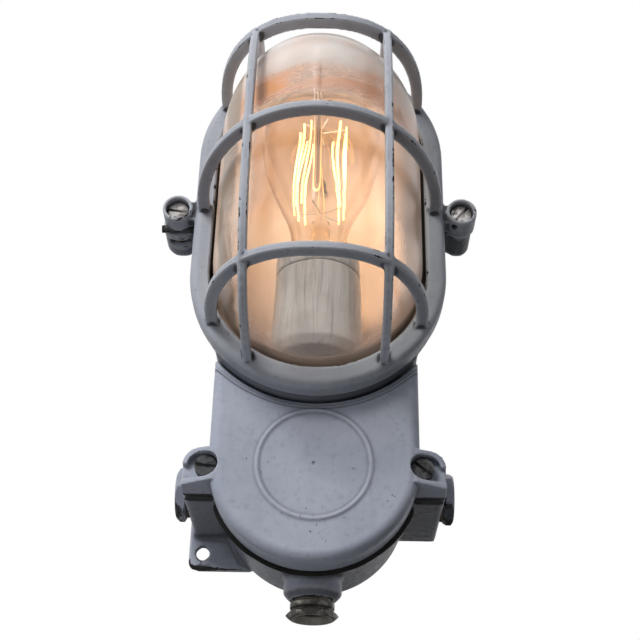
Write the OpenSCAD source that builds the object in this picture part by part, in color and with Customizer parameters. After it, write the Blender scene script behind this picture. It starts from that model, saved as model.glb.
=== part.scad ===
// Wall light with a cast guard, a clear globe and a junction box below it.
// Origin: middle of the two fixing holes, on the wall plane.
// +Z is up, the front looks along -Y, and the wall is the plane y = 0.

/* [Overall] */
// Distance from the wall to the front of the guard's rim
body_depth = 87; // [82:1:95]
// Height of the globe's centre above the origin
globe_rise = 43.5; // [42:0.5:45]
// Depth of the junction box's centre below the origin
box_drop = 81; // [80:0.5:84]
// Sideways distance of each fixing hole from the origin
fixing_x = 54; // [53:0.5:56]
// Upward distance of each fixing hole from the origin
fixing_z = 101; // [99:0.5:103]
// Diameter of the fixing holes
fixing_d = 6.5; // [5:0.5:7]
// Thickness of the fixing feet
foot_t = 4; // [3:0.5:5]
// Sideways reach of the lower foot beyond the junction box
foot_out = 17.1; // [16.6:0.5:18.6]
// Gap left where two parts are drawn together
seat_gap = 0.3; // [0.2:0.05:0.4]
// Radial clearance between a thread and its hole
thread_gap = 0.05; // [0.02:0.01:0.08]

/* [Guard] */
// Width over the rim
rim_w = 120; // [118:1:122]
// Height over the rim
rim_h = 188; // [184:1:192]
// Depth of the rim from front to back
rim_depth = 11; // [10:0.5:12]
// Width of the rim's band, from its inner to its outer edge
rim_band = 9.5; // [9:0.5:10.5]
// Radius of the rim's outer front edge
rim_edge = 4; // [2:0.5:5]
// Reach of the middle bow in front of the rim
cage_reach = 78.5; // [76:0.5:84]
// Spacing of the three bows
bow_pitch = 62; // [60:0.5:66]
// Sideways distance of the two uprights from the middle
upright_x = 30.5; // [26:0.5:34]
// Thickness of a bar, seen from the front
bar_t = 3.7; // [3:0.1:4.5]
// Depth of a bar, from its outer to its inner face
bar_deep = 7; // [5:0.5:8]
// Depth of a bar where it meets the rim
bar_foot = 5.5; // [4.5:0.5:6.5]

/* [Guard lugs] */
// Sideways distance of the guard's two screws from the middle
lug_x = 68.3; // [67:0.1:70]
// Outer diameter of the lugs on the guard
lug_d = 14.6; // [13.6:0.2:15.6]
// Diameter of the pocket for a screw head
lug_pocket_d = 11.4; // [10.8:0.1:11.8]
// Depth of the pocket for a screw head
lug_pocket = 7.5; // [6:0.5:8]
// Length of the lugs on the guard
lug_len = 13.6; // [13:0.2:14.6]
// Length of the lugs on the housing
seat_lug_len = 18; // [17:0.2:19]
// Diameter of the left lug on the housing, which holds a nut
nut_lug_d = 16.8; // [16:0.2:17.6]
// Diameter of the right lug on the housing, which is tapped
tapped_lug_d = 12.6; // [11.6:0.2:13.6]
// Diameter of the pin that keeps the left guard screw captive
pin_d = 3.8; // [3:0.2:4.2]
// Length of that pin
pin_len = 16.6; // [15.8:0.2:17.6]

/* [Screws] */
// Thread diameter of the guard and cover screws
screw_d = 6; // [5:0.5:6]
// Head diameter of the guard and cover screws
head_d = 9.8; // [9:0.2:10]
// Head height of the guard and cover screws
head_h = 4.2; // [3.4:0.2:4.8]
// Width of a screwdriver slot
slot_w = 1.5; // [1:0.1:1.8]
// Size across the flats of the guard nut
nut_af = 10; // [9.6:0.1:10.4]
// Thickness of the guard nut
nut_t = 5; // [4:0.5:5.5]

/* [Globe] */
// Gap between the globe and the rim round it
globe_gap = 2; // [1.5:0.5:3]
// Gap between the crown of the globe and the cage
globe_clear = 5.5; // [4.5:0.5:9]
// Thickness of the glass
glass_t = 3; // [2:0.5:4]
// Roundness of the globe's section: 2 is an ellipse, more is squarer
globe_power = 2; // [1.9:0.05:2.2]
// Width of the globe's flange under the rim
flange_lap = 4.5; // [3.5:0.5:5]
// Thickness of the globe's flange
flange_t = 3; // [2:0.5:3.5]
// Thickness of the globe's gasket
globe_gasket_t = 2.2; // [1.6:0.1:2.6]

/* [Housing] */
// Thickness of the housing's flange behind the rim
seat_t = 4.2; // [3.5:0.1:5]
// Thickness of the bowl's wall
bowl_wall = 3.5; // [2.5:0.5:4]
// Thickness of the housing's back wall
back_wall = 4; // [3:0.5:5]
// Inner radius of the bowl near the back wall
bowl_back_r = 43.5; // [42:0.5:45]
// Radius of the bowl's inner corner at the back wall
bowl_corner = 4; // [3:0.5:6]
// Thickness of the junction box's wall
box_wall = 4; // [3:0.5:4.5]
// Outer radius of the junction box
box_r = 43.6; // [42.6:0.2:44]
// Rise of its round end's centre above the middle of its cover
end_rise = 3; // [2:0.5:4]

/* [Box cover] */
// Sideways reach of the cover beyond the junction box
cover_lap = 3.3; // [2.7:0.2:3.9]
// Distance of the cover's face behind the front of the rim
cover_set = 14.8; // [14:0.1:15.2]
// Depth of the cover
cover_depth = 15.6; // [15:0.1:17]
// Thickness of the cover's side wall
cover_wall = 5.5; // [5:0.5:6]
// Thickness of the cover's face
cover_face_t = 3; // [2:0.5:4]
// Radius of the cover's front edge
cover_edge = 5; // [3:0.5:6]
// Gap between the cover and the flange above it
cover_gap = 1; // [0.8:0.1:1.4]
// Radius of the cover's edge along the flange
arc_edge = 2.2; // [1.5:0.1:2.6]
// Outer radius of the raised ring on the cover
ring_r = 25.9; // [24:0.1:30]
// Width of the raised ring on the cover
ring_w = 1.4; // [1:0.1:2.5]
// Height of the raised ring
ring_h = 0.7; // [0.4:0.1:1]
// Thickness of the box gasket
box_gasket_t = 1.7; // [1:0.1:2.2]
// Sideways distance of the cover's screws from the junction box
ear_screw_out = 4.6; // [4.3:0.1:5.2]
// Reach of an ear above the middle of the cover
ear_high = 8; // [7.8:0.1:9]
// Reach of an ear below the middle of the cover, at its back
ear_low = 10.5; // [10:0.1:11]
// Narrowing of an ear's lower side towards its front
ear_draft = 2.8; // [2:0.1:3]
// Fall of an ear's front towards its outer end
ear_fall = 6; // [4:0.5:6]
// Diameter of the pocket in an ear
ear_pocket_d = 11.6; // [10.6:0.1:11.8]
// Thickness of an ear behind its pocket
ear_floor = 6.7; // [5.5:0.1:8]

/* [Cable entries] */
// Distance of the entries' axes from the wall
entry_y = 29; // [28:0.5:30]
// Thread diameter of the entries
entry_d = 17; // [16:0.5:18]
// Sideways reach of the side blocks beyond the junction box
block_out = 15.1; // [14.6:0.5:16.6]
// Lower edge of the side blocks below the box's centre
block_low = 11.5; // [11.5:0.5:13]
// Upper edge of the side blocks above the box's centre
block_high = 12; // [12:0.5:14]
// Size across the flats of the plugs
plug_af = 22; // [21:0.5:22.5]
// Size across the flats of the gland
gland_af = 20.5; // [20:0.5:21]
// Thickness of a plug's head
plug_head = 4.8; // [4:0.2:5.4]
// Length of a plug's thread
plug_thread = 12; // [10:0.5:14]
// Thickness of a plug's sealing washer
plug_washer_t = 1.2; // [0.8:0.1:1.6]
// Diameter of the boss under the box
boss_d = 26.6; // [24:0.2:28]
// Reach of that boss below the box
boss_low = 8.9; // [8.4:0.5:10.4]
// Chamfer at the lower end of that boss
boss_chamfer = 3; // [2:0.5:3.5]
// Length of the gland's neck below the boss
gland_neck = 5; // [4:0.5:6]
// Thickness of the gland's hexagon
gland_hex = 3.2; // [3:0.1:5]
// Bore of the gland
gland_bore = 12; // [10:0.5:13]
// Hole in the gland's rubber seal
seal_hole = 7; // [5:0.5:9]

/* [Lamp holder and bulb] */
// Distance of the bulb's axis behind the front of the rim
lamp_set = 14.8; // [14:0.1:16]
// Diameter of the porcelain holder
holder_d = 42; // [40:0.5:43]
// Upper edge of the holder below the globe's centre
holder_top = 21; // [20:0.5:24]
// Length of the holder
holder_len = 53; // [51:0.5:53]
// Diameter of the bulb's glass
bulb_d = 65; // [60:0.5:65]
// Height of the middle of the bulb's round head above the globe's centre
bulb_head = 46; // [42:0.5:46]
// Diameter of the bulb's screw cap
cap_d = 26; // [25.6:0.1:26.4]
// Length of the bulb's screw cap
cap_len = 24; // [22:0.5:26]
// Radius of the ring of filament strands
fil_r = 12.5; // [10:0.5:14]
// Length of a filament strand
fil_len = 50; // [44:0.5:52]
// Number of filament strands
fil_count = 10; // [6:2:14]

/* [Reflector and wiring] */
// Gap between the bulb and the back of the reflector
reflector_clear = 5.7; // [4.7:0.5:7.7]
// Thickness of the reflector
reflector_t = 1; // [0.8:0.1:1.2]
// Thickness of the holder's bracket
bracket_t = 1.5; // [1:0.1:2]
// Reach of the bracket in front of the bulb's axis
bracket_reach = 9; // [8:0.5:12]
// Width of the holder's bracket
bracket_w = 18; // [16:0.5:22]
// Diameter of the lamp's leads
lead_d = 2.6; // [2:0.1:3]
// Sideways distance of each lead from the middle
lead_x = 6; // [5.5:0.1:6.5]
// Distance of the leads from the wall
lead_y = 15; // [14:0.5:16]
// Width of the terminal block
block_w = 25; // [24:0.5:28]
// Height of the terminal block
block_h = 16; // [14:0.5:18]

/* [Hidden] */
$fn = 72;

// Overlap that lets a cut run clear of a face, or a join run into its neighbour
over = 1;
// Gap left at a face that turns against another
turn_gap = 0.05;

// Ovals of the rim, the globe and the bowl share this half length between centres
half_len = (rim_h - rim_w) / 2;
rim_r = rim_w / 2;
rim_in = rim_r - rim_band;
rim_y = -body_depth;
rim_back = rim_y + rim_depth;
seat_y = rim_back + seat_gap;
low_arc_z = globe_rise - half_len;
lug_back = rim_y + lug_len;
seat_lug_y = lug_back + seat_gap;
lug_floor = rim_y + lug_pocket;
screw_r = screw_d / 2;
tapped_r = screw_r + thread_gap;
screw_hole_r = screw_r + 0.4;
slot_deep = head_h * 0.4;
screw_tip = 1.2;

// Guard bars
bow_mid_r = rim_r - rim_band / 2;
upright_reach = cage_reach * sqrt(1 - pow(upright_x / (bow_mid_r + bar_foot / 2), 2));
upright_half = half_len + sqrt(pow(bow_mid_r, 2) - pow(upright_x, 2));
upright_power = 2.95;
end_power = 2.3;
bar_sink = 2;

// Globe
globe_r = rim_in - globe_gap;
globe_reach = cage_reach - bar_deep - globe_clear;
flange_r = rim_in + flange_lap;
glass_gap = 0.3;
rebate_deep = flange_t + glass_gap - seat_gap;
globe_steps = 18;

// Bowl
bowl_front_y = seat_y + 9;
bowl_back_out = bowl_back_r + bowl_wall;
seat_r = rim_r - 0.8;
neck_r = rim_r;
cover_arc = rim_r + cover_gap;
post_d = 8;
post_rise = 48;
post_screw_r = 1.95;
post_screw_deep = 10;
post_head_r = 3.5;
post_head_h = 2.4;
post_slot = 1;

// Junction box
box_z = -box_drop;
round_z = box_z + end_rise;
box_corner = bowl_corner + bowl_wall;
cover_r = box_r + cover_lap;
neck_x = cover_r - 0.4;
ear_screw_x = box_r + ear_screw_out;
block_x = box_r + block_out;
ear_x = block_x;
ear_wall = 2.2;
ear_round = 7;
foot_x = box_r + foot_out;
face_y = rim_y + cover_set;
cover_back = face_y + cover_depth;
parting_y = cover_back + box_gasket_t;
ear_front = face_y + 0.7;
ear_seat_y = cover_back - ear_floor;
tap_depth = 10;
entry_r = entry_d / 2;
entry_bore_r = entry_r + thread_gap;
boss_z = round_z - box_r - boss_low;
boss_top = round_z - box_r + box_wall + 8;
seal_seat_z = boss_z + 11;
seal_t = 5;
gland_washer_t = 1;
gland_washer_z = seal_seat_z - seal_t - gland_washer_t;
gland_top = gland_washer_z - turn_gap;
collar_r = entry_r + 1.6;
collar_rise = 1.2;
collar_t = 2.6;
foot_r = 4;
foot_reach = 8;
pin_z = screw_r + pin_d / 2 + 0.2;
nut_y = seat_lug_y + 4.2;
nut_play = 0.25;

// Lamp
lamp_y = rim_y + lamp_set;
holder_z = globe_rise - holder_top;
holder_base = holder_z - holder_len;
shell_r = cap_d / 2 + 0.06;
shell_t = 0.5;
cap_z = holder_z - cap_len;
bulb_r = bulb_d / 2;
reflector_y = -(lamp_y + bulb_r + reflector_clear);
bulb_wall = 0.8;
bulb_neck_r = cap_d / 2 - 1.2;
head_z = globe_rise + bulb_head;
bulb_taper = 18;
taper_z = holder_z + 12.5;
taper_start = [bulb_r * cos(bulb_taper), head_z - bulb_r * sin(bulb_taper)];
taper_r = taper_start[0] - (taper_start[1] - taper_z) * tan(bulb_taper);
neck_end = cap_z + 10;
fil_low = head_z - 38;
fil_top = fil_low + fil_len;
strand_r = 0.3;
hook_turn = 2;
nipple_r = 5;
nipple_bore = 3.3;
holder_nut_t = 2;
holder_nut_af = 14;

// Bracket, wiring and terminals
foot_top = holder_base + 20;
foot_screw_z = foot_top - 6;
lead_r = lead_d / 2;
lead_top = foot_top + 6;
lead_bend = 6;
lead_play = 0.3;
lead_hole_low = low_arc_z - cover_arc - box_wall - 2 * over;
lead_hole_top = low_arc_z - bowl_back_r + bowl_corner;
holder_r = holder_d / 2;
holder_back = lamp_y + sqrt(pow(holder_r, 2) - pow(lead_x - lead_r, 2));
pad_h = 4;
term_y = -(back_wall + pad_h);
term_deep = 2 * (lead_y - back_wall - pad_h);
term_top = box_z + 7;
term_front = term_y - term_deep;
barrel_w = 5;
barrel_h = 12;
barrel_bore = lead_r + 0.1;
term_screw_r = 1.2;
term_head_r = 2;
term_screw_z = [term_top - 5, term_top - 11];
fix_screw_r = 1.5;
earth_x = 24;
earth_z = box_z + 14;
earth_pad_y = -(back_wall + 6);
earth_screw_r = 2;

// Reflector
reflector_rim = rim_in - 0.6;
reflector_r = bowl_back_r + 2.5;
reflector_corner = 3;
reflector_front = seat_y + globe_gasket_t + 0.1;

// Points of an arc with the centre (cx, cy) and the radius r, from angle a0 to a1
function arc(cx, cy, r, a0, a1, n = 8) =
    [for (i = [0 : n]) let (a = a0 + (a1 - a0) * i / n) [cx + r * cos(a), cy + r * sin(a)]];

// Points of a half superellipse with the half axes a and b, bulging towards -Y
function bow(a, b, p, n) =
    [for (i = [0 : n]) let (t = 180 * i / n, c = cos(t), s = sin(t))
        [a * sign(c) * pow(abs(c), 2 / p), -b * pow(abs(s), 2 / p)]];

// Points of a quarter of the globe's section, from its foot at the rim to its crown
function dome(r, reach) =
    [for (i = [0 : globe_steps]) let (t = 90 * i / globe_steps)
        [i == globe_steps ? 0 : r * pow(cos(t), 2 / globe_power),
         rim_y - reach * pow(sin(t), 2 / globe_power)]];

// Oval solid around the globe's centre, from a section with x as radius and y as depth
module oval() {
    for (side = [0, 1])
        translate([0, 0, globe_rise]) mirror([0, 0, side])
            translate([0, 0, -half_len]) rotate([-90, 0, 0])
                rotate_extrude(angle = 180) children();
    for (side = [0, 1])
        mirror([side, 0, 0]) translate([0, 0, globe_rise - half_len])
            linear_extrude(2 * half_len) children();
}

// Cylinder along Y, from y0 towards the wall
module rod_y(x, y0, z, r, len) {
    translate([x, y0, z]) rotate([-90, 0, 0]) cylinder(r = r, h = len);
}

// Cylinder along X, from x0
module rod_x(x0, y, z, r, len) {
    translate([x0, y, z]) rotate([0, 90, 0]) cylinder(r = r, h = len);
}

// Prism along Y with the outline of its children, drawn with x across and y up
module prism_y(y0, len) {
    translate([0, y0, 0]) mirror([0, 1, 0]) rotate([90, 0, 0]) linear_extrude(len) children();
}

// Block with rounded upright edges, standing off the wall plane
module rounded_block(x0, x1, z0, z1, r, y0, len) {
    prism_y(y0, len) polygon(concat(
        arc(x1 - r, z1 - r, r, 0, 90, 6), arc(x0 + r, z1 - r, r, 90, 180, 6),
        arc(x0 + r, z0 + r, r, 180, 270, 6), arc(x1 - r, z0 + r, r, 270, 360, 6)));
}

// Outline of the junction box: round below, straight sides, hollow arc above
module box_outline(r, arc_r, top = 0) {
    difference() {
        union() {
            translate([0, round_z]) circle(r = r, $fn = 120);
            translate([-r, round_z]) square([2 * r, top - round_z]);
        }
        translate([0, low_arc_z]) circle(r = arc_r, $fn = 144);
    }
}

// Cheese-head screw along Y, its head's back face at y = 0, its slot turned by turn
module cheese_screw(shank_r, len, r, h, slot, deep, turn) {
    difference() {
        union() {
            rod_y(0, -h, 0, r, h);
            rod_y(0, -0.01, 0, shank_r, len - screw_tip + 0.01);
            translate([0, len - screw_tip, 0]) rotate([-90, 0, 0])
                cylinder(r1 = shank_r, r2 = shank_r - screw_tip / 2, h = screw_tip, $fn = 48);
        }
        rotate([0, turn, 0])
            translate([-r - over, -h - over, -slot / 2]) cube([2 * (r + over), deep + over, slot]);
    }
}

// Section of the guard's rim
module rim_section() {
    difference() {
        union() {
            translate([rim_in, rim_y]) square([rim_band - rim_edge, rim_depth]);
            translate([rim_in, rim_y + rim_edge]) square([rim_band, rim_depth - rim_edge]);
            translate([rim_r - rim_edge, rim_y + rim_edge]) circle(r = rim_edge, $fn = 48);
        }
        translate([rim_in - over, rim_back - rebate_deep])
            square([flange_lap + glass_gap + over, rebate_deep + over]);
    }
}

// One horizontal bow of the cage, z above the globe's centre
module cage_bow(z) {
    a = sqrt(pow(bow_mid_r, 2) - pow(max(abs(z) - half_len, 0), 2)) + bar_foot / 2;
    up = upright_reach * pow(1 - pow(abs(z) / (upright_half + bar_foot / 2), upright_power),
                             1 / upright_power);
    power = z == 0 ? 2 : end_power;
    reach = up / pow(1 - pow(upright_x / a, power), 1 / power);
    outer = bow(a, reach, power, 72);
    inner = bow(a - bar_foot, reach - bar_deep, power, 72);
    translate([0, rim_y, globe_rise + z - bar_t / 2]) linear_extrude(bar_t) {
        polygon(concat(outer, [for (i = [len(inner) - 1 : -1 : 0]) inner[i]]));
        for (side = [-1, 1])
            translate([side * (a - bar_foot / 2) - bar_foot / 2, -0.01])
                square([bar_foot, bar_sink + 0.01]);
    }
}

// One upright of the cage, x from the middle
module cage_upright(x) {
    half = upright_half + bar_foot / 2;
    outer = bow(half, upright_reach, upright_power, 44);
    inner = bow(half - bar_foot, upright_reach - bar_deep, upright_power, 44);
    back = [for (i = [len(inner) - 1 : -1 : 0]) inner[i]];
    translate([x - bar_t / 2, rim_y, globe_rise]) rotate([90, 0, 90]) mirror([1, 0, 0])
        rotate([0, 0, 90]) linear_extrude(bar_t) {
            polygon(concat(outer, [[-half, bar_sink], [-half + bar_foot, bar_sink]], back,
                           [[half - bar_foot, bar_sink], [half, bar_sink]]));
        }
}

module guard() {
    color("lightslategray") difference() {
        union() {
            oval() rim_section();
            for (z = [-bow_pitch, 0, bow_pitch]) cage_bow(z);
            for (side = [-1, 1]) {
                cage_upright(side * upright_x);
                rod_y(side * lug_x, rim_y, globe_rise, lug_d / 2, lug_len);
                translate([side > 0 ? rim_r - 3 : -lug_x, rim_y + 2.5, globe_rise - 5])
                    cube([lug_x - rim_r + 3, rim_depth - 2.5, 10]);
            }
        }
        for (side = [-1, 1]) {
            rod_y(side * lug_x, rim_y - over, globe_rise, lug_pocket_d / 2, lug_pocket + over);
            rod_y(side * lug_x, lug_floor - over, globe_rise, screw_hole_r, lug_len);
        }
        // Groove for the pin behind the left lug
        translate([-lug_x - lug_d, lug_back - pin_d - 0.3, globe_rise - pin_z - pin_d / 2 - 0.2])
            cube([lug_d + pin_len / 2 + 0.3, pin_d + over + 0.3, pin_d + 0.4]);
        // Window through the lower wall of the right lug
        translate([lug_x - 4.6, rim_y + 3, globe_rise - lug_d])
            cube([2.8, 5.2, lug_d - lug_pocket_d / 2 + 2.4]);
    }
}

module guard_screw(side, turn) {
    color("dimgray") translate([side * lug_x, lug_floor, globe_rise])
        cheese_screw(screw_r, lug_len - lug_pocket + seat_gap + seat_lug_len - 2.4,
                     head_d / 2, head_h, slot_w, slot_deep, turn);
}
module guard_screw_left() { guard_screw(-1, 8); }
module guard_screw_right() { guard_screw(1, -52); }

module screw_pin() {
    color("dimgray")
        rod_x(-lug_x - pin_len / 2, lug_back - pin_d / 2 - 0.2, globe_rise - pin_z, pin_d / 2, pin_len);
}

module guard_nut() {
    color("saddlebrown") translate([-lug_x, nut_y, globe_rise]) rotate([-90, 0, 0])
        difference() {
            rotate([0, 0, 30]) cylinder(d = nut_af / cos(30), h = nut_t, $fn = 6);
            translate([0, 0, -over]) cylinder(r = tapped_r, h = nut_t + 2 * over);
        }
}

module glass_globe() {
    outer = dome(globe_r, globe_reach);
    inner = dome(globe_r - glass_t, globe_reach - glass_t);
    back = [for (i = [len(inner) - 1 : -1 : 0]) inner[i]];
    color("lightyellow", 0.35) oval() {
        polygon(concat([[globe_r, seat_y - flange_t], [flange_r, seat_y - flange_t],
                        [flange_r, seat_y], [globe_r - glass_t, seat_y]],
                       [for (i = [len(back) - 1 : -1 : 0]) back[i]],
                       [for (i = [len(outer) - 1 : -1 : 0]) outer[i]]));
    }
}

module globe_gasket() {
    color("black") oval()
        translate([rim_in + 0.3, seat_y]) square([flange_lap - 0.3, globe_gasket_t]);
}

// Outer section of the bowl: flange, cone and rounded back corner
module bowl_outer() {
    polygon(concat([[0, seat_y], [seat_r, seat_y], [seat_r, seat_y + seat_t],
                    [rim_in + bowl_wall, bowl_front_y]],
                   arc(bowl_back_out - box_corner, -box_corner, box_corner, 0, 90, 8), [[0, 0]]));
}

// Inner section of the bowl, with the step for the gasket
module bowl_inner() {
    polygon(concat([[0, seat_y - over], [flange_r + 0.4, seat_y - over],
                    [flange_r + 0.4, seat_y + globe_gasket_t], [rim_in, seat_y + globe_gasket_t],
                    [rim_in, bowl_front_y]],
                   arc(bowl_back_r - bowl_corner, -back_wall - bowl_corner, bowl_corner, 0, 90, 8),
                   [[0, -back_wall]]));
}

// Outer section of the junction box, rounded at the wall
module box_outer() {
    polygon(concat([[0, parting_y], [box_r, parting_y]],
                   arc(box_r - box_corner, -box_corner, box_corner, 0, 90, 8), [[0, 0]]));
}

// Side block that takes a cover screw and a cable entry
module side_block(side) {
    x0 = side > 0 ? box_r - 6 : -block_x;
    rounded_block(x0, x0 + block_x - box_r + 6, box_z - block_low, box_z + block_high, 2,
                  parting_y, -parting_y);
}

// Foot with a fixing hole; side is -1 for the lower left one and 1 for the upper right one
module fixing_foot(side) {
    if (side < 0)
        rounded_block(-foot_x, -box_r * 0.6, -fixing_z - foot_reach, box_z, foot_r,
                      -foot_t, foot_t);
    else
        rounded_block(bowl_back_out * 0.6, fixing_x + foot_reach, fixing_z - foot_reach,
                      fixing_z + foot_reach, foot_r, -foot_t, foot_t);
}

module housing_shell() {
    oval() bowl_outer();
    // Collar under the flange, down to the hollow edge of the cover
    intersection() {
        rod_y(0, seat_y + seat_t - over, low_arc_z, neck_r, parting_y - seat_y - seat_t + over + 8);
        translate([-neck_x, seat_y, low_arc_z - neck_r - over])
            cube([2 * neck_x, body_depth, neck_r - 12]);
    }
    tongue(-6) box_outer();
    for (side = [-1, 1]) {
        side_block(side);
        fixing_foot(side);
    }
    translate([0, -entry_y, boss_z]) {
        cylinder(d1 = boss_d - 2 * boss_chamfer, d2 = boss_d, h = boss_chamfer);
        translate([0, 0, boss_chamfer]) cylinder(d = boss_d, h = boss_top - boss_z - boss_chamfer);
    }
    rod_y(-lug_x, seat_lug_y, globe_rise, nut_lug_d / 2, seat_lug_len);
    rod_y(lug_x, seat_lug_y, globe_rise, tapped_lug_d / 2, seat_lug_len);
    for (side = [-1, 1])
        translate([side > 0 ? rim_in : -lug_x, seat_lug_y, globe_rise - 5])
            cube([lug_x - rim_in, seat_lug_len - 2, 10]);
}

module housing() {
    color("lightslategray") difference() {
        union() {
            difference() {
                housing_shell();
                oval() bowl_inner();
                prism_y(parting_y - over, -parting_y - back_wall + over)
                    box_outline(box_r - box_wall, cover_arc + box_wall, 0);
            }
            // Posts for the reflector and the bracket
            for (z = [globe_rise + post_rise, foot_screw_z])
                rod_y(0, -reflector_y, z, post_d / 2, reflector_y - back_wall + over);
            // Pads for the terminal block and the earth screw
            rod_y(0, term_y, term_top - block_h / 2, 6, pad_h + over);
            rod_y(earth_x, earth_pad_y, earth_z, 5, -earth_pad_y - back_wall + over);
            // Inner end of the gland boss
            translate([0, -entry_y, seal_seat_z - over])
                cylinder(d = boss_d, h = boss_top - seal_seat_z + over);
        }
        for (side = [-1, 1]) {
            rod_y(side * fixing_x, -foot_t - over, side * fixing_z, fixing_d / 2, foot_t + 2 * over);
            rod_y(side * ear_screw_x, parting_y - over, box_z, tapped_r, tap_depth + over);
            rod_x(side > 0 ? box_r - box_wall - 3 : -block_x - over, -entry_y, box_z,
                  entry_bore_r, block_x - box_r + box_wall + 3 + over);
            // Hole for a lead, between the box and the bowl
            translate([side * lead_x, -lead_y, lead_hole_low])
                cylinder(r = lead_r + lead_play, h = lead_hole_top - lead_hole_low);
        }
        // Screw holes in the posts and pads
        for (z = [globe_rise + post_rise, foot_screw_z])
            rod_y(0, -reflector_y - over, z, post_screw_r + thread_gap, post_screw_deep + over);
        rod_y(0, term_y - over, term_top - block_h / 2, fix_screw_r + thread_gap, 6 + over);
        rod_y(earth_x, earth_pad_y - over, earth_z, earth_screw_r + thread_gap, 8 + over);
        // Gland entry with its seat for the rubber seal
        translate([0, -entry_y, boss_z - over]) cylinder(r = entry_bore_r, h = seal_seat_z - boss_z + over);
        translate([0, -entry_y, boss_z]) cylinder(r = gland_bore / 2, h = boss_top - boss_z + over);
        // Tapped hole on the right and nut pocket on the left
        rod_y(lug_x, seat_lug_y - over, globe_rise, tapped_r, seat_lug_len - 1 + over);
        rod_y(-lug_x, seat_lug_y - over, globe_rise, screw_hole_r, seat_lug_len - 1 + over);
        translate([-lug_x - nut_af / 2 - nut_play, nut_y - nut_play, globe_rise - nut_lug_d])
            cube([nut_af + 2 * nut_play, nut_t + 2 * nut_play,
                  nut_lug_d + nut_af / cos(30) / 2 + nut_play]);
    }
}

// Solid with a round lower end and straight sides, from a section of radius and depth
module tongue(top) {
    translate([0, 0, round_z]) rotate([-90, 0, 0]) rotate_extrude(angle = 180) children();
    for (side = [0, 1])
        mirror([side, 0, 0]) translate([0, 0, round_z]) linear_extrude(top - round_z) children();
}

// Section of the cover, with its rounded front edge
module cover_section() {
    translate([0, face_y]) square([cover_r - cover_edge, cover_depth]);
    translate([0, face_y + cover_edge]) square([cover_r, cover_depth - cover_edge]);
    translate([cover_r - cover_edge, face_y + cover_edge]) circle(r = cover_edge, $fn = 48);
}

// Ear of the cover on the right, rounded above, its front falling outwards
module cover_ear() {
    x0 = cover_r - cover_wall - 2;
    low = box_z - ear_low;
    high = box_z + ear_high;
    difference() {
        prism_y(ear_front, cover_back - ear_front) polygon(concat(
            [[x0, low]], arc(ear_x - 1, low + 1, 1, 270, 360, 4),
            arc(ear_x - ear_round, high - ear_round, ear_round, 0, 90, 10), [[x0, high]]));
        translate([0, 0, low - over]) linear_extrude(high - low + 2 * over)
            polygon([[cover_r - 2, ear_front - over], [ear_x + over, ear_front - over],
                     [ear_x + over, ear_front + ear_fall], [cover_r - 2, ear_front]]);
        translate([x0 - over, 0, 0]) rotate([90, 0, 90]) linear_extrude(ear_x - x0 + 2 * over)
            polygon([[ear_front - over, low - over], [cover_back, low - over],
                     [cover_back, low], [ear_front, low + ear_draft], [ear_front - over, low + ear_draft]]);
    }
}

// Pocket for a screw's head in the ear on the right, open at the lower half of its outer side
module ear_pocket() {
    deep = ear_seat_y - ear_front + over;
    end_x = ear_x - ear_wall - ear_pocket_d / 2;
    prism_y(ear_front - over, deep) union() {
        translate([ear_screw_x, box_z]) circle(d = ear_pocket_d, $fn = 64);
        translate([end_x, box_z]) circle(d = ear_pocket_d, $fn = 64);
        translate([ear_screw_x, box_z - ear_pocket_d / 2]) square([end_x - ear_screw_x, ear_pocket_d]);
        translate([end_x, box_z - ear_pocket_d / 2]) square([ear_x - end_x + over, ear_pocket_d / 2 + 1]);
    }
}

// What clears the flange: a disc with its edge flared by the cover's rounded edge
module flange_clearance() {
    rim = cover_arc + arc_edge;
    translate([0, 0, low_arc_z]) rotate([-90, 0, 0]) rotate_extrude($fn = 144) polygon(concat(
        [[0, face_y - over], [rim, face_y - over]],
        arc(rim, face_y + arc_edge, arc_edge, 270, 180, 6),
        [[cover_arc, cover_back + over], [0, cover_back + over]]));
}

module box_cover() {
    color("lightslategray") difference() {
        union() {
            difference() {
                tongue(low_arc_z - 20) cover_section();
                flange_clearance();
            }
            for (side = [0, 1]) mirror([side, 0, 0]) cover_ear();
            // Raised ring on the face
            difference() {
                rod_y(0, face_y - ring_h, box_z, ring_r, ring_h + 0.5);
                rod_y(0, face_y - ring_h - over, box_z, ring_r - ring_w, ring_h + 0.5 + 2 * over);
            }
        }
        difference() {
            tongue(low_arc_z - 20)
                translate([0, face_y + cover_face_t]) square([cover_r - cover_wall, cover_depth]);
            rod_y(0, face_y - over, low_arc_z, cover_arc + cover_wall, cover_depth + 2 * over);
        }
        rod_y(0, face_y - over, box_z, 0.9, over + 0.8);
        for (side = [0, 1]) mirror([side, 0, 0]) {
            ear_pocket();
            rod_y(ear_screw_x, ear_front, box_z, screw_hole_r, cover_depth);
        }
    }
}

module box_gasket() {
    color("black") prism_y(cover_back, box_gasket_t) difference() {
        box_outline(box_r - 0.4, cover_arc + 0.4, low_arc_z - 20);
        box_outline(box_r - box_wall + 0.5, cover_arc + box_wall - 0.5, low_arc_z - 20);
    }
}

module cover_screw(side, turn) {
    color("dimgray") translate([side * ear_screw_x, ear_seat_y, box_z])
        cheese_screw(screw_r, parting_y + tap_depth - 1 - ear_seat_y,
                     head_d / 2, head_h, slot_w, slot_deep, turn);
}
module cover_screw_left() { cover_screw(-1, 4); }
module cover_screw_right() { cover_screw(1, 38); }

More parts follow.
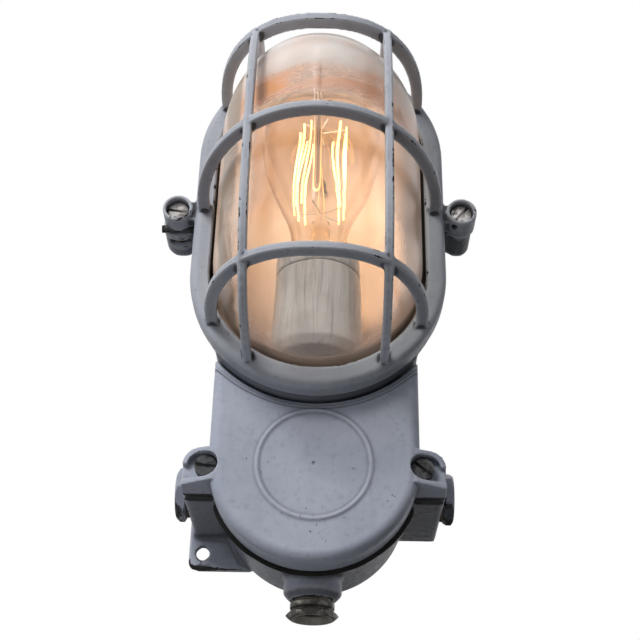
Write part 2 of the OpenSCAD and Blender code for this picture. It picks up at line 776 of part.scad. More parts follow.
module gland_nut() {
    low = boss_z - gland_neck;
    color("darkkhaki") translate([0, -entry_y, 0]) difference() {
        union() {
            translate([0, 0, low - gland_hex]) cylinder(d = gland_af / cos(30), h = gland_hex, $fn = 6);
            translate([0, 0, low - 0.01]) cylinder(r = entry_r, h = gland_top - low + 0.01);
            translate([0, 0, low + collar_rise]) cylinder(r = collar_r, h = collar_t);
        }
        translate([0, 0, low - gland_hex - over])
            cylinder(d = gland_bore, h = gland_top - low + gland_hex + 2 * over);
    }
}

module gland_washer() {
    color("silver") translate([0, -entry_y, gland_washer_z]) difference() {
        cylinder(r = entry_r - 0.2, h = gland_washer_t);
        translate([0, 0, -over]) cylinder(d = seal_hole + 2, h = gland_washer_t + 2 * over);
    }
}

module gland_seal() {
    color("black") translate([0, -entry_y, seal_seat_z - seal_t]) difference() {
        cylinder(r = entry_r - 0.1, h = seal_t);
        translate([0, 0, -over]) cylinder(d = seal_hole, h = seal_t + 2 * over);
    }
}

module blanking_plug(side, turn) {
    color("lightslategray") translate([side * block_x, -entry_y, box_z]) rotate([0, side * 90, 0]) {
        translate([0, 0, plug_washer_t]) rotate([0, 0, turn])
            cylinder(d = plug_af / cos(30), h = plug_head, $fn = 6);
        translate([0, 0, -plug_thread]) cylinder(r = entry_r, h = plug_thread + plug_washer_t + 0.01);
    }
}
module blanking_plug_left() { blanking_plug(-1, 30); }
module blanking_plug_right() { blanking_plug(1, 0); }

module plug_washer(side) {
    color("dimgray") translate([side * block_x, -entry_y, box_z]) rotate([0, side * 90, 0])
        difference() {
            cylinder(d = plug_af - 1, h = plug_washer_t);
            translate([0, 0, -over]) cylinder(r = entry_bore_r, h = plug_washer_t + 2 * over);
        }
}
module plug_washer_left() { plug_washer(-1); }
module plug_washer_right() { plug_washer(1); }

// Half section of the reflector's pan at the inset of one of its faces
function pan(inset) = concat(
    [[reflector_rim - inset, reflector_front], [reflector_rim - inset, bowl_front_y]],
    arc(reflector_r - reflector_corner, -reflector_y - reflector_corner,
        reflector_corner - inset, 0, 90, 6),
    [[0, -reflector_y - inset]]);

module reflector() {
    outer = pan(0);
    color("antiquewhite") difference() {
        oval() polygon(concat(outer, [for (i = [len(outer) - 1 : -1 : 0]) pan(reflector_t)[i]]));
        for (z = [globe_rise + post_rise, foot_screw_z])
            rod_y(0, -reflector_y - 2 * over, z, post_screw_r + 0.3, 4 * over);
        for (side = [-1, 1])
            rod_y(side * lead_x, -reflector_y - 2 * over, lead_top, lead_r + lead_play, 4 * over);
    }
}

module holder_bracket() {
    back = -reflector_y - reflector_t;
    color("silver") difference() {
        union() {
            translate([-bracket_w / 2, lamp_y - bracket_reach, holder_base - bracket_t])
                cube([bracket_w, back - lamp_y + bracket_reach, bracket_t]);
            translate([-bracket_w / 2, back - bracket_t, holder_base - bracket_t])
                cube([bracket_w, bracket_t, foot_top - holder_base + bracket_t]);
        }
        translate([0, lamp_y, holder_base - bracket_t - over])
            cylinder(r = nipple_r + 0.2, h = bracket_t + 2 * over);
        rod_y(0, back - bracket_t - over, foot_screw_z, post_screw_r + 0.3, bracket_t + 2 * over);
    }
}

module bracket_screws() {
    back = -reflector_y - reflector_t;
    color("silver") {
        translate([0, back, globe_rise + post_rise])
            cheese_screw(post_screw_r, post_screw_deep, post_head_r, post_head_h, post_slot,
                         post_slot, 20);
        translate([0, back - bracket_t, foot_screw_z])
            cheese_screw(post_screw_r, post_screw_deep + bracket_t, post_head_r, post_head_h,
                         post_slot, post_slot, -35);
    }
}

module lamp_holder() {
    floor_z = cap_z - 3.5;
    color("ghostwhite") translate([0, lamp_y, 0]) difference() {
        rotate_extrude() polygon([
            [0, holder_base], [holder_r - 2.5, holder_base], [holder_r, holder_base + 4],
            [holder_r, holder_z - 12], [holder_r - 0.8, holder_z - 11.4],
            [holder_r - 0.8, holder_z - 10.4], [holder_r, holder_z - 9.8],
            [holder_r, holder_z - 1.5], [holder_r - 1.5, holder_z], [bulb_neck_r + 5, holder_z],
            [bulb_neck_r + 4, holder_z - 4], [shell_r + shell_t, holder_z - 5],
            [shell_r + shell_t, floor_z], [0, floor_z]]);
        translate([0, 0, holder_base - over]) cylinder(r = nipple_r + 0.03, h = 8 + over);
    }
}

module holder_shell() {
    color("gold") translate([0, lamp_y, cap_z - 1]) difference() {
        cylinder(r = shell_r + shell_t, h = cap_len - 4);
        translate([0, 0, -over]) cylinder(r = shell_r, h = cap_len);
    }
}

module holder_contact() {
    color("gold") translate([0, lamp_y, cap_z - 3.5]) {
        translate([-7, -2, 0]) cube([14, 4, 0.5]);
        translate([0, 0, 0.4]) cylinder(r = 2.5, h = 1.9 - turn_gap);
    }
}

module holder_nipple() {
    color("gold") translate([0, lamp_y, holder_base - bracket_t - holder_nut_t]) difference() {
        cylinder(r = nipple_r, h = holder_nut_t + bracket_t + 8);
        translate([0, 0, -over]) cylinder(r = nipple_bore, h = holder_nut_t + bracket_t + 8 + 2 * over);
    }
}

module holder_nut() {
    color("gold") translate([0, lamp_y, holder_base - bracket_t - holder_nut_t]) difference() {
        cylinder(d = holder_nut_af / cos(30), h = holder_nut_t, $fn = 6);
        translate([0, 0, -over]) cylinder(r = nipple_r + 0.03, h = holder_nut_t + 2 * over);
    }
}

// Outline of the bulb's glass, the inset taken off its outer face
function bulb_line(inset) = concat(
    arc(0, head_z, bulb_r - inset, 90, -bulb_taper, 22),
    [[taper_r - inset, taper_z], [taper_r - inset - 1.2, taper_z - 4],
     [bulb_neck_r + 0.8 - inset, taper_z - 8.5], [bulb_neck_r - inset, taper_z - 11],
     [bulb_neck_r - inset, neck_end]]);

module bulb_glass() {
    outer = bulb_line(0);
    inner = bulb_line(bulb_wall);
    color("orange", 0.3) translate([0, lamp_y, 0]) rotate_extrude()
        polygon(concat(outer, [for (i = [len(inner) - 1 : -1 : 0]) inner[i]]));
}

module bulb_cap() {
    color("gold") translate([0, lamp_y, 0]) difference() {
        union() {
            translate([0, 0, cap_z + 4]) cylinder(d = cap_d, h = cap_len - 3);
            translate([0, 0, cap_z]) cylinder(r1 = 5, r2 = cap_d / 2, h = 4.01);
            translate([0, 0, cap_z - 1.2]) cylinder(r = 4.5, h = 1.3);
        }
        translate([0, 0, cap_z + 5]) cylinder(r = bulb_neck_r + 0.05, h = cap_len);
    }
}

module bulb_stem() {
    inner_r = bulb_neck_r - bulb_wall - 0.02;
    color("whitesmoke", 0.5) translate([0, lamp_y, 0]) rotate_extrude() polygon([
        [0, neck_end], [inner_r, neck_end], [inner_r, neck_end + 1], [6, neck_end + 5],
        [5, neck_end + 12], [4.5, fil_low - 6], [2, fil_low - 2], [1.6, fil_top - 1],
        [2.4, fil_top + 1], [1.6, fil_top + 3], [0, fil_top + 3.6]]);
}

module bulb_supports() {
    color("dimgray") translate([0, lamp_y, 0])
        for (i = [0 : fil_count - 1])
            rotate([0, 0, 360 * i / fil_count])
                rod_x(1.2, 0, i % 2 == 0 ? fil_top : fil_low, 0.25, fil_r - 1.2);
}

// Straight wire between two points
module wire(p, q, r) {
    d = q - p;
    translate(p) rotate([0, acos(d[2] / norm(d)), atan2(d[1], d[0])])
        cylinder(r = r, h = norm(d), $fn = 16);
}

// Strands that zigzag between the support wires and pass beside their ends
module bulb_filament() {
    step = 360 / fil_count;
    color("orange") translate([0, lamp_y, 0])
        for (i = [0 : fil_count - 2]) {
            a = step * i + hook_turn;
            b = step * (i + 1) - hook_turn;
            wire([fil_r * cos(a), fil_r * sin(a), i % 2 == 0 ? fil_top : fil_low],
                 [fil_r * cos(b), fil_r * sin(b), i % 2 == 0 ? fil_low : fil_top], strand_r);
        }
}

module terminal_block() {
    color("ghostwhite") difference() {
        translate([-block_w / 2, term_front, term_top - block_h]) cube([block_w, term_deep, block_h]);
        for (side = [-1, 1]) {
            translate([side * lead_x - barrel_w / 2 - 0.1, -lead_y - barrel_w / 2 - 0.1,
                       term_top - block_h - over])
                cube([barrel_w + 0.2, barrel_w + 0.2, block_h + 2 * over]);
            for (z = term_screw_z)
                rod_y(side * lead_x, term_front - over, z, term_head_r + 0.2, term_deep / 2);
        }
        rod_y(0, term_front - over, term_top - block_h / 2, fix_screw_r + 0.2, term_deep + 2 * over);
    }
}

module terminal_barrels() {
    color("gold") for (side = [-1, 1])
        difference() {
            translate([side * lead_x - barrel_w / 2, -lead_y - barrel_w / 2, term_top - 2 - barrel_h])
                cube([barrel_w, barrel_w, barrel_h]);
            translate([side * lead_x, -lead_y, term_top - block_h])
                cylinder(r = barrel_bore, h = block_h + over);
            for (z = term_screw_z)
                rod_y(side * lead_x, -lead_y - barrel_w, z, term_screw_r + 0.03, barrel_w);
        }
}

module terminal_screws() {
    color("silver") for (side = [-1, 1], z = term_screw_z)
        translate([side * lead_x, term_front + 2.2, z])
            cheese_screw(term_screw_r, -lead_y - lead_r - term_front - 2.3, term_head_r, 1.4, 0.6, 0.7,
                         side * 40 + z);
}

module terminal_fixing_screw() {
    color("silver") translate([0, term_front, term_top - block_h / 2])
        cheese_screw(fix_screw_r, term_deep + 4, 2.8, 2, 0.8, 0.9, 15);
}

module earth_washer() {
    color("gold") difference() {
        rod_y(earth_x, earth_pad_y - 1, earth_z, 4.4, 1);
        rod_y(earth_x, earth_pad_y - 1 - over, earth_z, earth_screw_r + 0.3, 1 + 2 * over);
    }
}

module earth_screw() {
    color("gold") translate([earth_x, earth_pad_y - 1, earth_z])
        cheese_screw(earth_screw_r, 7, 3.6, 2.6, 1, 1.1, 60);
}

// One lead: up from its terminal, round a bend, and forward to the holder
module lead(side) {
    low = term_top - 8;
    translate([side * lead_x, -lead_y, low]) cylinder(r = lead_r, h = lead_top - lead_bend - low, $fn = 24);
    translate([side * lead_x, -lead_y - lead_bend, lead_top - lead_bend]) rotate([90, 0, 90])
        rotate_extrude(angle = 90) translate([lead_bend, 0]) circle(r = lead_r, $fn = 24);
    rod_y(side * lead_x, holder_back + 0.1, lead_top, lead_r, -lead_y - lead_bend - holder_back - 0.1);
}
module lead_live() { color("saddlebrown") lead(1); }
module lead_neutral() { color("steelblue") lead(-1); }

housing();
guard();
guard_screw_left();
guard_screw_right();
screw_pin();
guard_nut();
glass_globe();
globe_gasket();
box_cover();
box_gasket();
cover_screw_left();
cover_screw_right();
gland_nut();
gland_washer();
gland_seal();
blanking_plug_left();
blanking_plug_right();
plug_washer_left();
plug_washer_right();
reflector();
holder_bracket();
bracket_screws();
lamp_holder();
holder_shell();
holder_contact();
holder_nipple();
holder_nut();
bulb_glass();
bulb_cap();
bulb_stem();
bulb_supports();
bulb_filament();
terminal_block();
terminal_barrels();
terminal_screws();
terminal_fixing_screw();
earth_screw();
earth_washer();
lead_live();
lead_neutral();
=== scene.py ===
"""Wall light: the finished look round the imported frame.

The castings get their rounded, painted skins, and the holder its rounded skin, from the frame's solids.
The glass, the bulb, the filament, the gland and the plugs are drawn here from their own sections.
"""
import logging
from abc import ABC, abstractmethod
from dataclasses import dataclass
from enum import Enum
from functools import reduce
from math import cos, degrees, pi, radians, sin, tan
from typing import Callable, Optional, Sequence

import bmesh
import bpy
import numpy as np
from mathutils import Matrix, Vector, noise
from mathutils.kdtree import KDTree


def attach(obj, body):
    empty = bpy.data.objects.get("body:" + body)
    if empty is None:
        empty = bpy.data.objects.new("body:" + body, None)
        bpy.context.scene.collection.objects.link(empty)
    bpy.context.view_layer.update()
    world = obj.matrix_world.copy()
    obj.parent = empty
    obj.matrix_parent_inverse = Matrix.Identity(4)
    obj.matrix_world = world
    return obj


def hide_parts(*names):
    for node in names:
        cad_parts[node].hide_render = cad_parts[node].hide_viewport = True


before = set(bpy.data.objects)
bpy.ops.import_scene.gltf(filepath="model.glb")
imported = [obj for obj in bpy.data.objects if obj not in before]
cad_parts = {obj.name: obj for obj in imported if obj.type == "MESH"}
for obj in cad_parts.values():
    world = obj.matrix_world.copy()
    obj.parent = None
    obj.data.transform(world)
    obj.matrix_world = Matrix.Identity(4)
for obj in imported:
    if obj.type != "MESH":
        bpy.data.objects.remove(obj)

MM = 0.001
SAME_SPOT = 2e-6
NO_AREA = 1e-7
LOG = logging.getLogger("wall_light")

Point = tuple[float, float, float]
Colour = tuple[float, float, float]
Pair = tuple[float, float]
Outline = list[Pair]
Socket = bpy.types.NodeSocket
Node = bpy.types.Node
Mesh = bpy.types.Mesh
Piece = bpy.types.Object
Reach = Callable[[float, float, float], float]


class Axis(Enum):
    """One of the three axes."""

    X = "X"
    Y = "Y"
    Z = "Z"


# Material graphs


class Graph:
    """The node graph of a material or a world, with a short call for each node it uses."""

    def __init__(self, owner: bpy.types.Material | bpy.types.World, end: str = "OutputMaterial") -> None:
        """Starts an empty graph.

        Args:
            owner: the new material or world.
            end: the type of the graph's last node.
        """
        self.owner = owner
        owner.use_nodes = True
        self.tree = owner.node_tree
        self.tree.nodes.clear()
        self.end = self.new(end)
        self.place = self.new("TexCoord").outputs["Object"]

    def new(self, kind: str, **values: object) -> Node:
        """Adds a node.

        Args:
            kind: the node's type, without the word that every type starts with.
            values: inputs by name, with _ for a space.

        Returns:
            The node.
        """
        node = self.tree.nodes.new("ShaderNode" + kind)
        for key, value in values.items():
            self.put(node.inputs[key.replace("_", " ")], value)
        return node

    def put(self, socket: Socket, value: object) -> None:
        """Joins a socket to another one, or sets its value."""
        if isinstance(value, Socket):
            self.tree.links.new(value, socket)
        elif isinstance(value, tuple) and len(value) == 3 and len(socket.default_value) == 4:
            socket.default_value = (*value, 1.0)
        else:
            socket.default_value = value

    def stretched(self, scale: Point) -> Socket:
        """Object coordinates, scaled along each axis."""
        return self.new("Mapping", Scale=scale, Vector=self.place).outputs["Vector"]

    def noise(self, scale: float, detail: float = 2.0, rough: float = 0.5, swirl: float = 0.0,
              along: Optional[Socket] = None) -> Socket:
        """Cloudy values around one half.

        Args:
            scale: cells for each metre.
            detail: layers of finer clouds.
            rough: strength of the finer clouds.
            swirl: distortion.
            along: coordinates to use in place of the object's own.

        Returns:
            The value's socket.
        """
        return self.new("TexNoise", Vector=along or self.place, Scale=scale, Detail=detail,
                        Roughness=rough, Distortion=swirl).outputs["Fac"]

    def cells(self, scale: float, along: Socket) -> Socket:
        """Distance to the nearest of scattered points."""
        return self.new("TexVoronoi", Vector=along, Scale=scale).outputs["Distance"]

    def calc(self, how: str, a: object, b: object = 0.0) -> Socket:
        """One step of arithmetic."""
        node = self.new("Math")
        node.operation = how
        self.put(node.inputs[0], a)
        self.put(node.inputs[1], b)
        return node.outputs[0]

    def times(self, *values: object) -> Socket:
        """The product of some values."""
        return reduce(lambda a, b: self.calc("MULTIPLY", a, b), values)

    def gap(self, a: object, b: object) -> Socket:
        """How far apart two values are."""
        return self.calc("ABSOLUTE", self.calc("SUBTRACT", a, b))

    def far(self, a: Socket, b: Socket) -> Socket:
        """Distance from a point that lies a and b away along two axes."""
        return self.calc("SQRT", self.calc("ADD", self.times(a, a), self.times(b, b)))

    def span(self, value: object, low: float, high: float, to_low: float = 0.0,
             to_high: float = 1.0) -> Socket:
        """Maps a value from one range to another, held at its ends."""
        node = self.new("MapRange", Value=value, From_Min=low, From_Max=high, To_Min=to_low, To_Max=to_high)
        node.interpolation_type = "SMOOTHSTEP"
        return node.outputs["Result"]

    def blend(self, share: object, a: object, b: object) -> Socket:
        """Mixes two colours."""
        node = self.new("Mix")
        node.data_type = "RGBA"
        for place, value in ((0, share), (6, a), (7, b)):
            self.put(node.inputs[place], value)
        return node.outputs[2]

    def bump(self, height: object, strength: float, depth: float, under: Optional[Socket] = None) -> Socket:
        """Bends the surface's normal by a height map."""
        node = self.new("Bump", Strength=strength, Distance=depth, Height=height)
        if under is not None:
            self.put(node.inputs["Normal"], under)
        return node.outputs["Normal"]

    def stored(self, name: str) -> Socket:
        """A value that a mesh keeps for each of its points."""
        node = self.new("Attribute")
        node.attribute_name = name
        return node.outputs["Fac"]

    def at(self, axis: Axis) -> Socket:
        """The object's own coordinate along an axis."""
        return self.new("SeparateXYZ", Vector=self.place).outputs[axis.value]

    def upward(self) -> Socket:
        """How much the surface faces up, below 0 where it faces down, for painted shade on faces that look
        down.
        """
        normal = self.new("NewGeometry").outputs["Normal"]
        return self.new("SeparateXYZ", Vector=normal).outputs["Z"]

    def facing(self, blend: float) -> Socket:
        """How far the surface turns away, for glass."""
        return self.new("LayerWeight", Blend=blend).outputs["Facing"]

    def surface(self, **values: object) -> Node:
        """The main shader, joined to the output.

        Args:
            values: inputs by name, with _ for a space.

        Returns:
            The shader's node.
        """
        node = self.new("BsdfPrincipled", **values)
        self.put(self.end.inputs["Surface"], node.outputs[0])
        return node

    def lets_lamps_through(self, shader: Node, tint: Colour) -> None:
        """Lets the lamps' light pass through glass, tinted."""
        shadow = self.new("LightPath").outputs["Is Shadow Ray"]
        self.mixed(shadow, shader, self.new("BsdfTransparent", Color=tint))

    def mixed(self, share: Socket, first: Node, second: Node) -> None:
        """Joins a mix of two shaders to the output."""
        mix = self.new("MixShader")
        for place, value in enumerate((share, first.outputs[0], second.outputs[0])):
            self.put(mix.inputs[place], value)
        self.put(self.end.inputs["Surface"], mix.outputs[0])


class Finish(ABC):
    """A finish, which fills the graph of one material."""

    name: str

    @abstractmethod
    def fill(self, g: Graph) -> None:
        """Adds the finish's nodes to its graph."""

    def build(self) -> bpy.types.Material:
        """Makes the material."""
        g = Graph(bpy.data.materials.new(self.name))
        self.fill(g)
        return g.owner


@dataclass(frozen=True)
class CastPaint(Finish):
    """Brushed-on paint over cast metal, chipped along its edges, with painted shade and painted highlights.

    Places are in metres, and a pair is where a mark begins and where it has its full strength.
    A strength or radius of 0 leaves its mark out.
    """

    name: str
    colour: Colour = (0.325, 0.350, 0.425)
    pale: Colour = (0.385, 0.410, 0.490)
    dull: Colour = (0.17, 0.18, 0.20)
    # Colour of the painted shade in corners, on undersides and beside the lip line.
    shade_tone: Colour = (0.025, 0.027, 0.034)
    bare: Colour = (0.016, 0.015, 0.016)
    # Lighter colour for edges, part rubbed paint and part painted highlight, and for the lip's painted
    # highlight.
    worn_and_lit: Colour = (0.48, 0.50, 0.55)
    # Colour of the painted shade on the rim's inner walls.
    rim_shade_black: Colour = (0.012, 0.011, 0.011)
    # Colour of the dark joint line and of the painted shade below the ears.
    joint_and_shade_black: Colour = (0.010, 0.010, 0.012)
    # Strength of the painted shade in concave corners.
    corner_shade: float = 0.90
    # Strength of the painted shade on faces that look down.
    under: float = 0.30
    chip_from: float = 1.22
    # Where the edge lightening, part wear and part painted highlight, begins.
    rub_highlight_from: float = 0.55
    # Strength of the painted shade on the rim's inner walls.
    rim_shade: float = 0.0
    bald: float = 0.0
    foot_wear: float = 0.0
    gloss: float = 0.46
    # Where along x the painted shade on undersides goes from weaker to stronger.
    under_shade_x: Pair = (-0.030, 0.045)
    foot_x: Pair = (-0.030, -0.045)
    foot_z: Pair = (-0.1015, -0.1080)
    seam_y: float = -0.0550
    seam_z: Pair = (-0.030, -0.045)
    ear_x: Pair = (0.0440, 0.0460)
    rim_z: float = 0.0435
    rim_half: float = 0.034
    rim_r: Pair = (0.0519, 0.0512)
    rim_x: Pair = (0.030, 0.038)
    rim_y: Pair = (-0.0872, -0.0862)
    lip_r: float = 0.0
    lip_z: float = 0.0095
    lip_shadow: float = 0.0009

    def fill(self, g: Graph) -> None:
        """Adds the finish's nodes to its graph."""
        edge = g.stored("edge")
        broad, fine = g.noise(32.0, 3.0, 0.6), g.noise(420.0, 3.0, 0.6)
        streaks = g.noise(1.0, 4.0, 0.65, 0.4, g.stretched((300.0, 300.0, 26.0)))
        side, level = g.at(Axis.X), g.at(Axis.Z)
        depth = g.calc("ADD", g.at(Axis.Y), g.times(fine, 0.0012))
        tone = g.blend(g.span(broad, 0.35, 0.65), self.colour, self.pale)
        tone = g.blend(g.span(streaks, 0.35, 0.75, 0.0, 0.35), tone, self.pale)
        tone = g.blend(g.span(fine, 0.5, 0.8, 0.0, 0.30), tone, self.dull)
        # Painted shade: faces that look down are darkened, more strongly on the right side.
        under_shade = g.span(side, *self.under_shade_x, 0.7 * self.under, min(0.88, 1.75 * self.under))
        tone = g.blend(g.times(g.span(g.upward(), -0.05, -0.62), under_shade), tone, self.shade_tone)
        # Painted shade: concave corners are darkened towards the shade colour.
        corner = g.span(g.calc("ADD", edge, g.times(broad, -0.25)), -0.06, -0.50, 0.0, self.corner_shade)
        tone = g.blend(corner, tone, self.shade_tone)
        # Painted shade: the rim's inner walls at its sides are darkened near black.
        if self.rim_shade:
            tone = g.blend(self.inner_rim_shade(g, side, depth, level), tone, self.rim_shade_black)
        # Edges lightened: partly paint rubbed thin, partly a painted highlight.
        rub_highlight = g.span(g.calc("ADD", edge, g.times(fine, 0.5)), self.rub_highlight_from, self.rub_highlight_from + 0.45, 0.0, 0.65)
        tone = g.blend(rub_highlight, tone, self.worn_and_lit)
        # Dark joint line, widened below the ears by painted shade.
        tone = g.blend(self.joint_and_shade(g, side, depth, level), tone, self.joint_and_shade_black)
        gone = self.gone(g, edge, side, level)
        tone = g.blend(gone, tone, self.bare)
        skin = g.bump(g.noise(900.0, 2.0, 0.6), 0.20, 0.0003)
        skin = g.bump(g.noise(150.0, 2.0, 0.5), 0.40, 0.0009, skin)
        skin = g.bump(streaks, 0.04, 0.0006, skin)
        # Painted highlight line, with a painted shadow line just outside it, standing in for a small step.
        if self.lip_r:
            line, shadow = (self.lip(g, side, level, r) for r in (self.lip_r, self.lip_r + self.lip_shadow))
            tone = g.blend(g.times(line, 0.35), tone, self.worn_and_lit)
            tone = g.blend(g.times(shadow, 0.45), tone, self.shade_tone)
            skin = g.bump(line, 1.0, 0.0008, skin)
        skin = g.bump(g.calc("SUBTRACT", 1.0, gone), 0.7, 0.0004, skin)
        rough = g.calc("ADD", g.span(fine, 0.3, 0.7, self.gloss - 0.06, self.gloss + 0.08),
                       g.times(gone, 0.2))
        g.surface(Base_Color=tone, Roughness=rough, Specular_IOR_Level=0.35, Normal=skin)

    def gone(self, g: Graph, edge: Socket, side: Socket, level: Socket) -> Socket:
        """Where the paint has come off: chips along edges, specks, and patches on a bald piece."""
        ragged = g.times(g.calc("SUBTRACT", g.noise(95.0, 7.0, 0.72, 0.4), 0.5), 4.2)
        if self.foot_wear:
            foot = g.times(g.span(level, *self.foot_z, 0.0, self.foot_wear), g.span(side, *self.foot_x))
            ragged = g.calc("ADD", ragged, foot)
        chips = g.calc("ADD", g.span(edge, 0.1, 0.9), ragged)
        worn = g.times(g.span(chips, self.chip_from, self.chip_from + 0.08), g.span(edge, 0.05, 0.2))
        specks = g.times(g.span(g.noise(310.0, 4.0, 0.7, 0.5), 0.665, 0.68),
                         g.span(g.noise(48.0, 2.0), 0.52, 0.60))
        gone = g.calc("MAXIMUM", worn, specks)
        if self.bald:
            patch = g.span(g.noise(62.0, 5.0, 0.6, 0.6), 0.555, 0.575, 0.0, self.bald)
            gone = g.calc("MAXIMUM", gone, patch)
        return gone

    def joint_and_shade(self, g: Graph, side: Socket, depth: Socket, level: Socket) -> Socket:
        """The dark line of the joint under the cover, widened below the cover's ears by painted shade on
        faces that look down.
        """
        joint = g.gap(depth, self.seam_y)
        # Painted shade on faces that look down, below the ears.
        ears = g.times(g.span(joint, 0.0036, 0.0026, 0.0, 0.95),
                       g.span(g.calc("ABSOLUTE", side), *self.ear_x),
                       g.span(g.upward(), -0.15, -0.45))
        line = g.calc("MAXIMUM", g.span(joint, 0.0019, 0.0011, 0.0, 0.9), ears)
        return g.times(line, g.span(level, *self.seam_z))

    def lip(self, g: Graph, side: Socket, level: Socket, radius: float) -> Socket:
        """A thin curved line on the cover, beside the oval rim, for a painted highlight and a painted
        shadow.
        """
        away = g.far(side, g.calc("SUBTRACT", level, self.lip_z))
        return g.span(g.gap(away, radius), 0.0007, 0.0002)

    def inner_rim_shade(self, g: Graph, side: Socket, depth: Socket, level: Socket) -> Socket:
        """Painted shade on the inner walls at the sides of the oval rim, where the glass passes through it.
        """
        rise = g.calc("MAXIMUM", g.calc("SUBTRACT", g.gap(level, self.rim_z), self.rim_half), 0.0)
        return g.times(g.span(g.far(side, rise), *self.rim_r, 0.0, self.rim_shade),
                       g.span(depth, *self.rim_y), g.span(g.calc("ABSOLUTE", side), *self.rim_x))


@dataclass(frozen=True)
class ClearGlass(Finish):
    """Thick pressed glass: dusty at its top, stained brown below that, with a painted warm glow at its sides
    and painted shade at its foot.

    A pair is where a mark begins and where it has its full strength, in metres.
    """

    name: str = "clear_glass"
    tint: Colour = (0.985, 0.98, 0.955)
    side: Colour = (0.64, 0.49, 0.35)
    dust: Colour = (0.74, 0.72, 0.71)
    smear: Colour = (0.70, 0.33, 0.14)
    shade: Colour = (0.36, 0.27, 0.20)
    # Colour of the painted warm glow where the glass turns away.
    glow_cream: Colour = (0.93, 0.62, 0.45)
    foot_warm: Colour = (0.46, 0.33, 0.25)
    # Colour of the painted shade low on the glass's foot.
    foot_shade: Colour = (0.014, 0.013, 0.012)
    through: Colour = (0.93, 0.93, 0.91)
    rough: float = 0.015
    dusty_z: Pair = (0.058, 0.092)
    stain_low: Pair = (0.0590, 0.0660)
    stain_high: Pair = (0.0820, 0.0710)
    band_right: Pair = (-0.0345, -0.0385)
    band_left: Pair = (-0.0460, -0.0425)
    foot_y: Pair = (-0.0905, -0.0880)
    foot_z: Pair = (0.096, 0.082)
    # Heights over which the foot's painted shade gives way to warm brown.
    foot_shade_z: Pair = (-0.006, 0.010)

    def fill(self, g: Graph) -> None:
        """Adds the finish's nodes to its graph."""
        side, level = g.at(Axis.X), g.at(Axis.Z)
        cloud = g.noise(34.0, 5.0, 0.62, 0.8, g.stretched((1.0, 1.0, 0.7)))
        blots = g.noise(30.0, 4.0, 0.55, 0.6, g.stretched((0.8, 1.0, 1.8)))
        dusty = g.times(g.span(level, *self.dusty_z), g.span(cloud, 0.30, 0.62, 0.70, 0.97))
        dusty = g.calc("MAXIMUM", dusty, g.span(cloud, 0.56, 0.80, 0.0, 0.22))
        stain = g.times(g.span(level, *self.stain_low), g.span(level, *self.stain_high, 0.16, 1.0),
                        g.span(blots, 0.40, 0.64, 0.15, 0.92))
        film = g.calc("MAXIMUM", dusty, stain)
        clear = g.blend(g.span(g.facing(0.45), 0.30, 0.85), self.tint, self.side)
        tone = g.blend(g.span(film, 0.02, 0.30), clear, self.dust)
        tone = g.blend(stain, tone, self.smear)
        # Painted glow: the warm light of the lit inside, laid on where the glass turns away, with less
        # see-through.
        grazing_glow = g.span(g.facing(0.45), 0.24, 0.72, 0.0, 0.72)
        tone = g.blend(g.times(grazing_glow, g.calc("SUBTRACT", 1.0, film)), tone, self.glow_cream)
        film = g.calc("MAXIMUM", film, grazing_glow)
        band = g.times(g.span(side, *self.band_right), g.span(side, *self.band_left),
                       g.span(cloud, 0.30, 0.65, 0.12, 0.55))
        tone = g.blend(g.span(band, 0.0, 0.3), tone, self.shade)
        # Painted shade: the glass's foot is near black low down and warm brown higher up.
        foot = g.times(g.span(g.at(Axis.Y), *self.foot_y), g.span(level, *self.foot_z))
        low = g.blend(g.span(level, *self.foot_shade_z), self.foot_warm, self.foot_shade)
        tone = g.blend(foot, tone, low)
        film = g.calc("MAXIMUM", g.calc("MAXIMUM", film, band), foot)
        wave = g.bump(g.noise(34.0, 1.0, 0.4), 0.10, 0.002)
        shader = g.surface(Base_Color=tone, Roughness=g.span(film, 0.0, 0.5, self.rough, 0.30),
                           IOR=1.5, Transmission_Weight=g.calc("SUBTRACT", 1.0, film), Normal=wave)
        g.lets_lamps_through(shader, self.through)


@dataclass(frozen=True)
class TintedGlass(Finish):
    """Thin blown glass, deeper in colour where it turns away."""

    name: str = "amber_glass"
    thin: Colour = (1.0, 0.965, 0.93)
    deep: Colour = (0.42, 0.17, 0.045)
    through: Colour = (0.99, 0.93, 0.87)
    turn: float = 0.35

    def fill(self, g: Graph) -> None:
        """Adds the finish's nodes to its graph."""
        tone = g.blend(g.span(g.facing(self.turn), 0.45, 0.97), self.thin, self.deep)
        shader = g.surface(Base_Color=tone, Roughness=0.0, IOR=1.45, Transmission_Weight=1.0,
                           Normal=g.bump(g.noise(60.0, 1.0), 0.05, 0.001))
        g.lets_lamps_through(shader, self.through)


